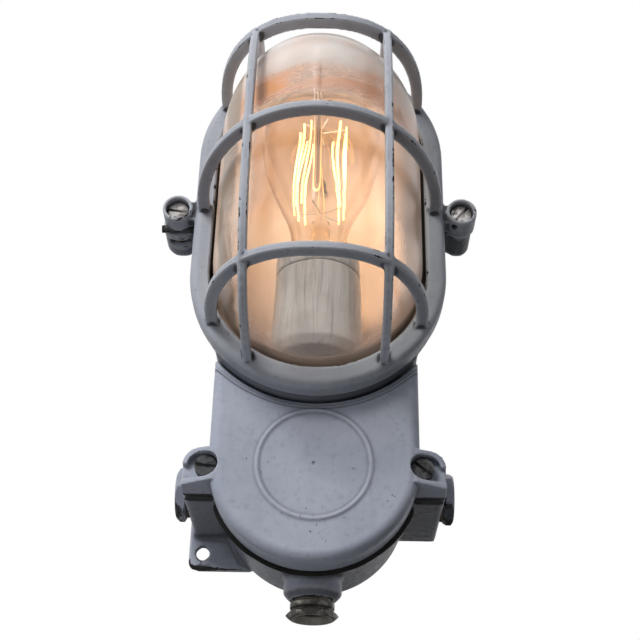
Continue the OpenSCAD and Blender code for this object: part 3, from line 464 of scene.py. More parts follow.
@dataclass(frozen=True)
class Metal(Finish):
    """Worn metal with scratches, stains and fine soiling, and painted shade in its corners."""

    name: str
    colour: Colour
    stain: Colour
    rough: float = 0.35
    stained: float = 0.5
    metallic: float = 1.0
    grain: float = 600.0

    def fill(self, g: Graph) -> None:
        """Adds the finish's nodes to its graph."""
        patch = g.noise(self.grain * 0.35, 4.0, 0.65, 0.5)
        fine = g.noise(self.grain, 3.0, 0.6)
        start = 0.62 - 0.3 * self.stained
        share = g.span(patch, start, start + 0.18)
        tone = g.blend(share, self.colour, self.stain)
        # Painted shade: concave corners are darkened towards the stain colour.
        tone = g.blend(g.span(g.stored("edge"), -0.05, -0.5, 0.0, 0.7), tone, self.stain)
        tone = g.blend(g.span(fine, 0.4, 0.8, 0.0, 0.3), tone, self.stain)
        rough = g.calc("ADD", g.span(fine, 0.2, 0.8, self.rough - 0.1, self.rough + 0.15),
                       g.times(share, 0.2))
        metal = g.span(share, 0.0, 1.0, self.metallic, self.metallic * 0.35)
        g.surface(Base_Color=tone, Roughness=rough, Metallic=metal,
                  Normal=g.bump(fine, 0.25, 0.0002))


@dataclass(frozen=True)
class Plain(Finish):
    """Rubber, fibre, enamel, porcelain or sleeve: one substance with its own grain."""

    name: str
    colour: Colour
    other: Colour
    rough: float
    grain: float = 300.0
    relief: float = 0.2
    coat: float = 0.0
    shine: float = 0.5

    def fill(self, g: Graph) -> None:
        """Adds the finish's nodes to its graph."""
        cloud = g.noise(self.grain * 0.2, 4.0, 0.6, 0.3)
        fine = g.noise(self.grain, 3.0, 0.6)
        tone = g.blend(g.span(cloud, 0.35, 0.7), self.colour, self.other)
        # Painted shade: concave corners are darkened.
        tone = g.blend(g.span(g.stored("edge"), -0.1, -0.6, 0.0, 0.6), tone,
                       tuple(c * 0.45 for c in self.other))
        g.surface(Base_Color=tone, Roughness=g.span(fine, 0.2, 0.8, self.rough - 0.05, self.rough + 0.08),
                  Specular_IOR_Level=self.shine, Coat_Weight=self.coat, Coat_Roughness=0.08,
                  Normal=g.bump(fine, self.relief, 0.0003))


@dataclass(frozen=True)
class Porcelain(Finish):
    """Glazed holder, streaked grey by years of heat."""

    name: str = "porcelain_streaked"
    colour: Colour = (0.56, 0.53, 0.52)
    streak: Colour = (0.31, 0.295, 0.285)
    # Colour of the painted shade in concave corners.
    corner_shade: Colour = (0.10, 0.10, 0.09)
    mark: Colour = (0.06, 0.06, 0.055)

    def fill(self, g: Graph) -> None:
        """Adds the finish's nodes to its graph."""
        run = g.noise(1.0, 4.0, 0.65, 0.3, g.stretched((420.0, 420.0, 26.0)))
        cloud = g.noise(60.0, 4.0, 0.6)
        tone = g.blend(g.span(run, 0.42, 0.72, 0.0, 0.8), self.colour, self.streak)
        tone = g.blend(g.span(cloud, 0.45, 0.75, 0.0, 0.5), tone, self.streak)
        # Painted shade: concave corners are darkened towards the shade colour.
        tone = g.blend(g.span(g.stored("edge"), -0.05, -0.5, 0.0, 0.8), tone, self.corner_shade)
        marks = g.times(g.span(g.cells(90.0, g.stretched((1.0, 1.0, 5.0))), 0.10, 0.05),
                        g.span(g.noise(45.0, 2.0), 0.55, 0.62))
        tone = g.blend(marks, tone, self.mark)
        g.surface(Base_Color=tone, Roughness=g.span(run, 0.3, 0.7, 0.22, 0.38), Coat_Weight=0.25,
                  Coat_Roughness=0.12, Normal=g.bump(run, 0.12, 0.0004))


@dataclass(frozen=True)
class Glow(Finish):
    """Wire that glows."""

    name: str = "filament_glow"
    colour: Colour = (1.0, 0.62, 0.15)
    hot: Colour = (1.0, 0.75, 0.32)
    strength: float = 3.4

    def fill(self, g: Graph) -> None:
        """Adds the finish's nodes to its graph."""
        shade = g.blend(g.noise(500.0, 2.0), self.colour, self.hot)
        g.surface(Base_Color=self.colour, Roughness=0.5, Emission_Color=shade,
                  Emission_Strength=self.strength)


class Finishes:
    """Each finish, built once."""

    MAKERS: dict[str, Finish] = {
        "housing_paint": CastPaint("housing_paint_chipped", corner_shade=0.62, under=0.80, foot_wear=1.1),
        "plug_paint": CastPaint("plug_paint_chipped", under=0.50, bald=0.95),
        "guard_paint": CastPaint("guard_paint_chipped", (0.330, 0.350, 0.405), (0.395, 0.415, 0.470),
                                 under=0.16, chip_from=1.29, rim_shade=0.95, rub_highlight_from=0.36),
        "cover_paint": CastPaint("cover_paint_chipped", (0.350, 0.380, 0.465), (0.415, 0.445, 0.535),
                                 corner_shade=0.30, under=0.18, chip_from=1.27, lip_r=0.0636),
        "clear_glass": ClearGlass(),
        "amber_glass": TintedGlass(),
        "stem_glass": TintedGlass("stem_glass", (1.0, 0.90, 0.78), (0.85, 0.40, 0.16), (0.97, 0.9, 0.8),
                                  0.3),
        "rubber": Plain("rubber_black", (0.012, 0.012, 0.012), (0.020, 0.019, 0.018), 0.70, 500.0, 0.3,
                        shine=0.15),
        "bright_steel": Metal("steel_bright", (0.62, 0.61, 0.59), (0.25, 0.23, 0.20), 0.30, 0.35),
        "rusty_steel": Metal("steel_rusty", (0.16, 0.09, 0.05), (0.05, 0.022, 0.010), 0.75, 0.8, 0.3, 900.0),
        "brass": Metal("brass_dull", (0.66, 0.47, 0.22), (0.22, 0.14, 0.06), 0.32, 0.45),
        "gland_metal": Metal("gland_tarnish", (0.29, 0.275, 0.245), (0.075, 0.070, 0.062), 0.40, 0.5, 0.85,
                             260.0),
        "porcelain": Porcelain(),
        "cover_screws": Metal("steel_painted", (0.085, 0.088, 0.092), (0.020, 0.020, 0.019), 0.55, 0.65,
                              0.2),
        "screw_steel": Metal("steel_screws", (0.50, 0.49, 0.48), (0.10, 0.085, 0.070), 0.40, 0.55),
        "white_enamel": Plain("enamel_pale", (0.93, 0.82, 0.74), (0.91, 0.75, 0.65), 0.42, 90.0, 0.06, 0.15),
        "fibre": Plain("fibre_dark", (0.050, 0.042, 0.035), (0.090, 0.075, 0.060), 0.8, 700.0, 0.4),
        "filament": Glow(),
        "hot_wire": Metal("supports_pale", (0.95, 0.90, 0.85), (0.80, 0.66, 0.56), 0.55, 0.15, 0.0),
        "lead_brown": Plain("sleeve_brown", (0.13, 0.055, 0.025), (0.09, 0.04, 0.02), 0.5, 300.0, 0.1),
        "lead_blue": Plain("sleeve_blue", (0.03, 0.09, 0.26), (0.02, 0.06, 0.18), 0.5, 300.0, 0.1),
    }

    def __init__(self) -> None:
        """Starts with nothing built."""
        self.made: dict[str, bpy.types.Material] = {}

    def get(self, name: str) -> bpy.types.Material:
        """A finish by its name, built at its first use."""
        if name not in self.made:
            self.made[name] = self.MAKERS[name].build()
        return self.made[name]


# Mesh tools


def points_of(mesh: Mesh) -> np.ndarray:
    """The mesh's points as rows of x, y and z."""
    flat = np.zeros(len(mesh.vertices) * 3, np.float32)
    mesh.vertices.foreach_get("co", flat)
    return flat.reshape(-1, 3)


def edge_field(mesh: Mesh, steps: int, scale: float) -> np.ndarray:
    """How much each point stands out (above 0) or lies in a corner (below 0).

    Args:
        mesh: a mesh with evenly spread points.
        steps: rounds of averaging, which set how wide an edge counts.
        scale: the height in metres that counts as 1.

    Returns:
        One value for each point.
    """
    spots = points_of(mesh).astype(np.float64)
    normals = np.zeros(len(spots) * 3, np.float32)
    mesh.vertices.foreach_get("normal", normals)
    pairs = np.zeros(len(mesh.edges) * 2, np.int64)
    mesh.edges.foreach_get("vertices", pairs)
    a, b = pairs.reshape(-1, 2).T
    count = np.bincount(np.concatenate([a, b]), minlength=len(spots))[:, None].clip(1)
    even = spots.copy()
    for _ in range(steps):
        total = np.stack([np.bincount(a, even[b, k], len(spots)) + np.bincount(b, even[a, k], len(spots))
                          for k in range(3)], 1)
        even = 0.5 * even + 0.5 * total / count
    return ((spots - even) * normals.reshape(-1, 3)).sum(1) / scale


def keep_values(mesh: Mesh, name: str, values: np.ndarray) -> None:
    """Stores one value for each point of a mesh."""
    layer = mesh.attributes.new(name, "FLOAT", "POINT")
    layer.data.foreach_set("value", values.astype(np.float32))


def shade_smooth(mesh: Mesh) -> None:
    """Shades a mesh smooth."""
    mesh.polygons.foreach_set("use_smooth", np.ones(len(mesh.polygons), bool))
    mesh.update()


def new_object(data: bpy.types.ID, name: str = "") -> Piece:
    """Links a new object for a mesh, a lamp or a camera, named after it unless another name is given."""
    made = bpy.data.objects.new(name or data.name, data)
    bpy.context.scene.collection.objects.link(made)
    return made


def final_mesh(made: Piece) -> Mesh:
    """The object's mesh with its modifiers applied."""
    graph = bpy.context.evaluated_depsgraph_get()
    return bpy.data.meshes.new_from_object(made.evaluated_get(graph))


def rings_mesh(name: str, rings: Sequence[Sequence[Point]], closed: bool = True) -> Mesh:
    """A surface over rings of equally many points.

    Args:
        name: the mesh's name.
        rings: the rings in order, each one closed on itself.
        closed: joins the last ring to the first, which makes a hollow solid.

    Returns:
        The mesh, with points that coincide made one.
    """
    count = len(rings[0])
    verts = [p for ring in rings for p in ring]
    last = len(rings) if closed else len(rings) - 1
    faces = []
    for i in range(last):
        low, high = i * count, ((i + 1) % len(rings)) * count
        faces += [(low + j, low + (j + 1) % count, high + (j + 1) % count, high + j) for j in range(count)]
    mesh = bpy.data.meshes.new(name)
    mesh.from_pydata(verts, [], faces)
    return tidy_mesh(mesh)


def tidy_mesh(mesh: Mesh) -> Mesh:
    """Joins points that coincide, drops faces with no area and turns faces outwards."""
    work = bmesh.new()
    work.from_mesh(mesh)
    bmesh.ops.remove_doubles(work, verts=work.verts, dist=SAME_SPOT)
    bmesh.ops.dissolve_degenerate(work, edges=work.edges, dist=NO_AREA)
    bmesh.ops.recalc_face_normals(work, faces=work.faces)
    work.to_mesh(mesh)
    work.free()
    shade_smooth(mesh)
    return mesh


def turned(profile: Outline, centre: Point, steps: int = 96,
           reach: Optional[Reach] = None, axis: Axis = Axis.Z) -> list[list[Point]]:
    """Rings of a turned piece.

    Args:
        profile: pairs of radius and height, in mm.
        centre: the axis at height 0, in mm.
        steps: points round each ring.
        reach: gives a point's radius from its radius, angle and height, for flats and threads.
        axis: the axis it turns about.

    Returns:
        The rings, in metres.
    """
    rings = []
    for radius, height in profile:
        ring = []
        for k in range(steps):
            angle = 2 * pi * k / steps
            r = reach(radius, angle, height) if reach else radius
            u, v = r * cos(angle), r * sin(angle)
            x, y, z = {Axis.Z: (u, v, height), Axis.X: (height, u, v), Axis.Y: (u, height, v)}[axis]
            ring.append(((centre[0] + x) * MM, (centre[1] + y) * MM, (centre[2] + z) * MM))
        rings.append(ring)
    return rings


@dataclass
class Workshop:
    """What every sub-assembly shares: the frame's nodes and the finishes."""

    finishes: Finishes
    edge_rounds: int = 10
    edge_height: float = 0.55
    bevel_deg: float = 32.0

    def seat(self, made: Piece, body: str, slot: str, nodes: Sequence[str],
             finish: str = "") -> Piece:
        """Dresses a new piece and fixes it to its body in place of its solids.

        Args:
            made: the piece.
            body: the body it moves with.
            slot: the record's material slot.
            nodes: the solids it stands for.
            finish: a finish other than the slot's own.

        Returns:
            The piece.
        """
        made.data.materials.clear()
        made.data.materials.append(self.finishes.get(finish or slot))
        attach(made, body)
        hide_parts(*nodes)
        LOG.info("%s: %d faces, on %s", made.name, len(made.data.polygons), body)
        return made

    def skin(self, node: str, voxel: float, rounds: int, keep: float = 1.0) -> Piece:
        """A skin with rounded edges over one of the frame's solids.

        Args:
            node: the solid.
            voxel: spacing of the skin's points, in mm.
            rounds: how much its edges are rounded.
            keep: the share of faces kept where the skin is flat.

        Returns:
            The skin, with its edge values stored.
        """
        made = new_object(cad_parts[node].data.copy(), node + "_skin")
        lay = made.modifiers.new("lay", "REMESH")
        lay.mode, lay.voxel_size, lay.adaptivity = "VOXEL", voxel * MM, 0.0
        ease = made.modifiers.new("ease", "SMOOTH")
        ease.factor, ease.iterations = 0.5, rounds
        dense = final_mesh(made)
        values = edge_field(dense, self.edge_rounds, voxel * MM * self.edge_height)
        made.modifiers.clear()
        made.data = dense
        if keep < 1.0:
            tree = KDTree(len(dense.vertices))
            for i, vertex in enumerate(dense.vertices):
                tree.insert(vertex.co, i)
            tree.balance()
            thin = made.modifiers.new("thin", "DECIMATE")
            thin.ratio = keep
            sparse = final_mesh(made)
            made.modifiers.clear()
            values = values[[tree.find(v.co)[1] for v in sparse.vertices]]
            made.data = sparse
        keep_values(made.data, "edge", values)
        made.data.name = made.name
        shade_smooth(made.data)
        if keep < 1.0:
            made.modifiers.new("flats", "WEIGHTED_NORMAL").keep_sharp = False
        return made

    def dress(self, node: str, finish: str, bevel: float = 0.0) -> None:
        """Gives one of the frame's own solids its finish and soft edges.

        Args:
            node: the solid.
            finish: the finish's name.
            bevel: width of its edges' bevels, in mm.
        """
        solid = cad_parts[node]
        solid.data.materials.clear()
        solid.data.materials.append(self.finishes.get(finish))
        if bevel > 0:
            shade_smooth(solid.data)
            weld = solid.modifiers.new("weld", "WELD")
            weld.merge_threshold = SAME_SPOT
            cut = solid.modifiers.new("edges", "BEVEL")
            cut.width, cut.segments, cut.limit_method = bevel * MM, 2, "ANGLE"
            cut.angle_limit, cut.harden_normals = radians(self.bevel_deg), True
        LOG.info("%s: own solid, finish %s", node, finish)


# Sub-assemblies


@dataclass
class Castings:
    """The three painted castings: housing, guard and box cover.

    A row gives a solid, its body and finish, the spacing of its skin's points in mm, how much the
    skin's edges are rounded, and the share of its faces kept.
    """

    shop: Workshop
    rows: tuple[tuple[str, str, str, float, int, float], ...] = (
        ("housing", "root", "housing_paint", 1.0, 2, 0.42),
        ("guard", "guard_body", "guard_paint", 0.72, 3, 1.0),
        ("box_cover", "cover_body", "cover_paint", 0.44, 4, 0.4))

    def build(self) -> None:
        """Lays the skins over the castings' solids."""
        for node, body, finish, voxel, rounds, keep in self.rows:
            skin = self.shop.skin(node, voxel, rounds, keep)
            self.shop.seat(skin, body, "grey_paint", [node], finish)


@dataclass
class Globe:
    """The pressed glass globe. Sizes are in mm."""

    shop: Workshop
    centre_z: float = 43.5
    half_len: float = 34.0
    rim_y: float = -87.0
    radius: float = 48.5
    reach: float = 66.0
    wall: float = 3.0
    inner_wave: float = 0.9
    outer_wave: float = 0.25
    wave_scale: Point = (0.07, 0.042, 0.0245)
    flange_r: float = 55.0
    flange_front: float = -78.7
    flange_back: float = -75.7
    steps: int = 44
    round_steps: int = 64
    straight_steps: int = 20

    def dome(self, radius: float, reach: float) -> Outline:
        """Section from the rim to the crown, as pairs of radius and depth."""
        made = []
        for i in range(self.steps + 1):
            t = pi / 2 * i / self.steps
            c = 0.0 if i == self.steps else cos(t)
            made.append((radius * c, self.rim_y - reach * sin(t)))
        return made

    def ring(self, radius: float, y: float, wave: float) -> list[Point]:
        """One oval ring of the globe.

        Args:
            radius: radius of its round ends.
            y: its depth.
            wave: unevenness of the pressed glass, in mm.

        Returns:
            The ring's points, in metres.
        """
        spots = []
        for end in (1, -1):
            for k in range(self.round_steps):
                a = pi * k / self.round_steps
                spots.append((end * radius * cos(a),
                              end * (radius * sin(a) + self.half_len)))
            for k in range(self.straight_steps):
                z = end * self.half_len * (1 - 2 * k / self.straight_steps)
                spots.append((-end * radius, z))
        made = []
        for x, z in spots:
            swell = wave * noise.noise(Vector((x, y, z)) * Vector(self.wave_scale))
            share = 1 + swell / max(radius, 12.0)
            made.append((x * share * MM, (y + swell) * MM, (self.centre_z + z) * MM))
        return made

    def build(self) -> None:
        """Makes the globe with its flange, one closed wall of glass."""
        outer = self.dome(self.radius, self.reach)
        inner = self.dome(self.radius - self.wall, self.reach - self.wall)
        flange = [(self.radius - self.wall, self.flange_back), (self.flange_r, self.flange_back),
                  (self.flange_r, self.flange_front), (self.radius + 0.6, self.flange_front),
                  (self.radius, self.flange_front - 0.6)]
        rings = [self.ring(r, y, self.inner_wave) for r, y in reversed(inner)]
        rings += [self.ring(r, y, 0.0) for r, y in flange]
        rings += [self.ring(r, y, self.outer_wave) for r, y in outer]
        mesh = rings_mesh("glass_globe_clear", rings)
        self.shop.seat(new_object(mesh), "root", "clear_glass", ["glass_globe"])


@dataclass
class Bulb:
    """The large bulb: its tinted glass and its hot wires.

    Sizes are in mm. A strand is given by the turns of its top and its foot, in degrees.
    """

    shop: Workshop
    axis_y: float = -72.2
    radius: float = 32.5
    wall: float = 0.8
    head_z: float = 89.5
    neck_r: float = 11.8
    shoulder_r: float = 13.4
    shoulder_z: float = 28.5
    neck_top: float = 25.0
    neck_end: float = 8.5
    taper_deg: float = 18.0
    round_steps: int = 40
    taper_steps: int = 29
    strand_ring: float = 12.5
    strands: tuple[Pair, ...] = ((178, 172), (144, 148), (120, 128), (214, 210), (238, 230),
                                 (48, 42), (16, 20), (-14, -18), (-44, -38))
    strand_low: float = 51.5
    strand_high: float = 101.5
    wire_r: float = 0.46
    wire_bow: float = 0.6
    wire_sides: int = 8
    wire_pieces: int = 26

    def glass_line(self, inset: float) -> Outline:
        """Half section of the glass, from crown to neck, as pairs of radius and height."""
        r = self.radius - inset
        made = [(0.0, self.head_z + r)]
        for k in range(1, self.round_steps + 1):
            angle = radians(90 - k * (90 + self.taper_deg) / self.round_steps)
            made.append((r * cos(angle), self.head_z + r * sin(angle)))
        start_r, start_z = made[-1]
        low_r = self.shoulder_r - inset
        for k in range(1, self.taper_steps + 1):
            t = k / self.taper_steps
            ease = (t * t * (3 - 2 * t)) ** 2
            drop = (start_z - self.shoulder_z) * t
            straight = start_r - drop * tan(radians(self.taper_deg))
            made.append((max((1 - ease) * straight + ease * low_r, low_r), start_z - drop))
        made += [(self.neck_r + 0.2 - inset, self.neck_top), (self.neck_r - inset, self.neck_top - 1.0),
                 (self.neck_r - inset, self.neck_end)]
        return made

    def build_glass(self) -> None:
        """Makes the bulb's glass as one thin closed wall."""
        line = self.glass_line(0.0) + list(reversed(self.glass_line(self.wall)))
        mesh = rings_mesh("bulb_glass_amber", turned(line, (0, self.axis_y, 0), 112))
        self.shop.seat(new_object(mesh), "bulb_body", "amber_glass", ["bulb_glass"])

    def build_wires(self) -> None:
        """Makes the strands of hot wire, each one slightly bowed, in two bundles."""
        verts: list[Point] = []
        faces: list[tuple[int, ...]] = []
        sides, pieces = self.wire_sides, self.wire_pieces
        for top, foot in self.strands:
            a, b = radians(top), radians(foot)
            base = len(verts)
            for k in range(pieces + 1):
                t = k / pieces
                out = self.strand_ring + self.wire_bow * sin(pi * t)
                x = out * ((1 - t) * cos(a) + t * cos(b))
                y = out * ((1 - t) * sin(a) + t * sin(b))
                z = (1 - t) * self.strand_high + t * self.strand_low
                for s in range(sides):
                    turn = 2 * pi * s / sides
                    verts.append(((x + self.wire_r * cos(turn)) * MM,
                                  (self.axis_y + y + self.wire_r * sin(turn)) * MM, z * MM))
            for p in range(base, base + pieces * sides, sides):
                faces += [(p + s, p + (s + 1) % sides, p + (s + 1) % sides + sides, p + s + sides)
                          for s in range(sides)]
            faces.append(tuple(range(base, base + sides)))
            faces.append(tuple(reversed(range(base + pieces * sides, base + (pieces + 1) * sides))))
        mesh = bpy.data.meshes.new("bulb_filament_hot")
        mesh.from_pydata(verts, [], faces)
        self.shop.seat(new_object(tidy_mesh(mesh)), "bulb_body", "filament", ["bulb_filament"])

    def build(self) -> None:
        """Makes the bulb's glass and wires, and dresses its other parts."""
        self.build_glass()
        self.build_wires()
        self.shop.dress("bulb_stem", "stem_glass")
        shade_smooth(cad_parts["bulb_stem"].data)
        self.shop.dress("bulb_supports", "hot_wire")
        self.shop.dress("bulb_cap", "brass", 0.3)


@dataclass
class Holder:
    """The porcelain holder with its fittings."""

    shop: Workshop
    voxel: float = 0.6
    rounds: int = 2

    def build(self) -> None:
        """Makes the holder's skin and dresses its fittings."""
        body = self.shop.skin("lamp_holder", self.voxel, self.rounds)
        self.shop.seat(body, "root", "porcelain", ["lamp_holder"])
        for node, slot, bevel in (("holder_shell", "brass", 0.1), ("holder_contact", "brass", 0.1),
                                  ("holder_nipple", "brass", 0.2), ("holder_nut", "brass", 0.25),
                                  ("holder_bracket", "bright_steel", 0.25),
                                  ("bracket_screws", "bright_steel", 0.2)):
            self.shop.dress(node, slot, bevel)


@dataclass
class Entries:
    """The gland under the box and the two plugs in its sides. Sizes are in mm."""

    shop: Workshop
    entry_y: float = -29.0
    box_z: float = -81.0
    block_x: float = 58.7
    plug_af: float = 22.0
    plug_washer: float = 1.2
    plug_head: float = 4.8
    plug_thread: float = 12.0
    plug_groove: float = 0.55
    thread_r: float = 8.5
    plug_steps: int = 46
    gland_steps: int = 44
    boss_z: float = -130.5
    gland_neck: float = 5.0
    gland_hex: float = 3.2
    gland_af: float = 20.5
    gland_bore: float = 12.0
    gland_top: float = -125.55
    gland_groove: float = 0.7
    flare: tuple[Pair, ...] = ((0.0, 2.8), (1.7, 0.9), (2.5, 0.1), (2.7, 0.0))
    collar_r: float = 10.1
    collar_low: float = -134.3
    collar_high: float = -131.7
    collar_ease: float = 0.45
    pitch: float = 1.5
    round_steps: int = 120
    chamfer_in: float = 0.3
    chamfer_up: float = 0.15
    chamfer_steps: int = 8
    flat_steps: int = 5

    def hexagon(self, across: float, turn: float) -> Reach:
        """Gives radii cut back to the flats of a hexagon.

        Args:
            across: size across the flats, in mm.
            turn: turn of its first flat, in degrees.

        Returns:
            The function that cuts a radius back.
        """
        def reach(radius: float, angle: float, _height: float) -> float:
            """The radius at an angle, no more than the hexagon's."""
            part = (degrees(angle) - turn + 30) % 60 - 30
            return min(radius, across / 2 / cos(radians(part)))
        return reach

    def threaded(self, radius: float, depth: float) -> Reach:
        """Gives radii with a screw thread cut into them."""
        def reach(_radius: float, angle: float, height: float) -> float:
            """The thread's radius at an angle and height."""
            phase = (height / self.pitch + angle / (2 * pi)) % 1.0
            return radius - depth * abs(2 * phase - 1)
        return reach

    def head_line(self, across: float, low: float, high: float) -> Outline:
        """Side of a hexagon head with both of its ends chamfered."""
        face, corner = across / 2 - self.chamfer_in, across / 2 / cos(radians(30))
        out, steps, flats = corner - face, self.chamfer_steps, self.flat_steps
        rise = out * tan(radians(30)) + self.chamfer_up
        line = [(face + out * k / steps, low + rise * (k / steps)) for k in range(steps + 1)]
        line += [(corner, low + rise + (high - low - 2 * rise) * k / flats) for k in range(1, flats)]
        return line + [(corner - out * k / steps, high - rise * (1 - k / steps)) for k in range(steps + 1)]

    def collar_line(self) -> Outline:
        """Side of the collar, from low to high, with its edges eased."""
        r, low, high, ease = self.collar_r, self.collar_low, self.collar_high, self.collar_ease
        return [(r - ease, low), (r - 0.1, low + 0.15), (r, low + ease), (r, high - ease),
                (r - 0.1, high - 0.15), (r - ease, high)]

    def build_plug(self, side: int, turn: float) -> None:
        """Makes one plug: a closed hexagon head and its thread.

        Args:
            side: -1 for the left plug and 1 for the right one.
            turn: turn of the head's first flat, in degrees.
        """
        name = "blanking_plug_" + ("left" if side < 0 else "right")
        low, high, tip = self.plug_washer, self.plug_washer + self.plug_head, -self.plug_thread
        face, r = self.plug_af / 2, self.thread_r
        head = list(reversed(self.head_line(self.plug_af, low, high)))
        thread = [(r, low + (tip - low) * k / self.plug_steps) for k in range(1, self.plug_steps)]
        rings: list[list[Point]] = []
        for line, reach in (([(0.0, high), (face - 2.0, high), (face - 0.9, high)], None),
                            (head, self.hexagon(self.plug_af, turn)), ([(r, low)], None),
                            (thread, self.threaded(r, self.plug_groove)),
                            ([(r - 0.6, tip), (0.0, tip)], None)):
            rings += turned(line, (0, 0, 0), self.round_steps, reach, Axis.X)
        at = Vector((side * self.block_x, self.entry_y, self.box_z)) * MM
        rings = [[(at.x + side * x, at.y + y, at.z + z) for x, y, z in ring] for ring in rings]
        mesh = rings_mesh(name + "_head", rings, closed=False)
        self.shop.seat(new_object(mesh), "root", "grey_paint", [name], "plug_paint")

    def build_gland(self) -> None:
        """Makes the gland: hexagon, threaded neck and a flared bore."""
        low = self.boss_z - self.gland_neck
        foot, start, top = low - self.gland_hex, self.collar_high + 0.1, self.gland_top - 0.4
        bore, r, neck = self.gland_bore / 2, self.thread_r, self.thread_r - 0.7
        inside = [(bore, self.gland_top), (bore, low)] + [(bore + out, foot + up) for out, up in self.flare]
        collar = [(neck, low), (neck, self.collar_low), *self.collar_line(), (neck, self.collar_high)]
        thread = [(r, start + (top - start) * k / self.gland_steps) for k in range(self.gland_steps + 1)]
        rings: list[list[Point]] = []
        for line, reach in ((inside + [(self.gland_af / 2 - 0.7, foot)], None),
                            (self.head_line(self.gland_af, foot, low), self.hexagon(self.gland_af, 30.0)),
                            (collar, None), (thread, self.threaded(r - 0.05, self.gland_groove)),
                            ([(r - 0.8, self.gland_top)], None)):
            rings += turned(line, (0, self.entry_y, 0), self.round_steps, reach)
        mesh = rings_mesh("gland_nut_threaded", rings)
        self.shop.seat(new_object(mesh), "gland_body", "gland_metal", ["gland_nut"])

    def build(self) -> None:
        """Makes the gland and both plugs, and dresses their washers."""
        self.build_plug(-1, 30.0)
        self.build_plug(1, 0.0)
        self.build_gland()
        for node, slot in (("gland_washer", "bright_steel"), ("gland_seal", "rubber"),
                           ("plug_washer_left", "fibre"), ("plug_washer_right", "fibre")):
            self.shop.dress(node, slot, 0.15)


@dataclass
class Fittings:
    """Screws, gaskets, reflector, terminals and leads as the frame's own solids, and the gasket's edge.

    Sizes are in mm.
    """

    shop: Workshop
    lip_z: float = -78.0
    lip_front: float = -56.45
    lip_back: float = -55.05
    lip_inner: float = 44.2
    lip_outer: float = 48.7
    lip_deg: float = 74.0
    lip_ends: float = 0.10
    lip_low: float = 0.25
    lip_ripple: float = 0.25
    lip_round: Pair = (0.5, 0.25)
    lip_steps: int = 90

    def build_gasket_lip(self) -> None:
        """Makes the edge of rubber that old pressure has squeezed out below the box cover."""
        rings = []
        inner, front, back = self.lip_inner, self.lip_front, self.lip_back
        middle, (cut, flat) = (front + back) / 2, self.lip_round
        for k in range(self.lip_steps + 1):
            share = 2 * k / self.lip_steps - 1
            angle = radians(270 + self.lip_deg * share)
            fade = min(1.0, (1 - abs(share)) / self.lip_ends)
            edge = inner + (self.lip_outer - inner) * (self.lip_low + (1 - self.lip_low) * fade)
            edge += self.lip_ripple * noise.noise(Vector((k * 0.21, 1.7, 0.4)))
            section = ((inner, front), (edge - cut, front), (edge, middle - flat), (edge, middle + flat),
                       (edge - cut, back), (inner, back))
            rings.append([(r * cos(angle) * MM, y * MM, (self.lip_z + r * sin(angle)) * MM)
                          for r, y in section])
        mesh = rings_mesh("box_gasket_lip", rings, closed=False)
        made = new_object(mesh)
        made.data.materials.append(self.shop.finishes.get("rubber"))
        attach(made, "root")

    def build(self) -> None:
        """Dresses each solid and adds the gasket's squeezed edge."""
        self.build_gasket_lip()
        for node, slot, bevel in (
                ("guard_screw_left", "screw_steel", 0.3), ("guard_screw_right", "screw_steel", 0.3),
                ("cover_screw_left", "cover_screws", 0.3), ("cover_screw_right", "cover_screws", 0.3),
                ("screw_pin", "cover_screws", 0.45), ("guard_nut", "rusty_steel", 0.4),
                ("globe_gasket", "rubber", 0.3), ("box_gasket", "rubber", 0.2),
                ("reflector", "white_enamel", 0.2), ("terminal_block", "porcelain", 0.4),
                ("terminal_barrels", "brass", 0.2), ("terminal_screws", "bright_steel", 0.15),
                ("terminal_fixing_screw", "bright_steel", 0.2), ("earth_screw", "brass", 0.2),
                ("earth_washer", "brass", 0.15), ("lead_live", "lead_brown", 0.0),
                ("lead_neutral", "lead_blue", 0.0)):
            self.shop.dress(node, slot, bevel)


# Stage


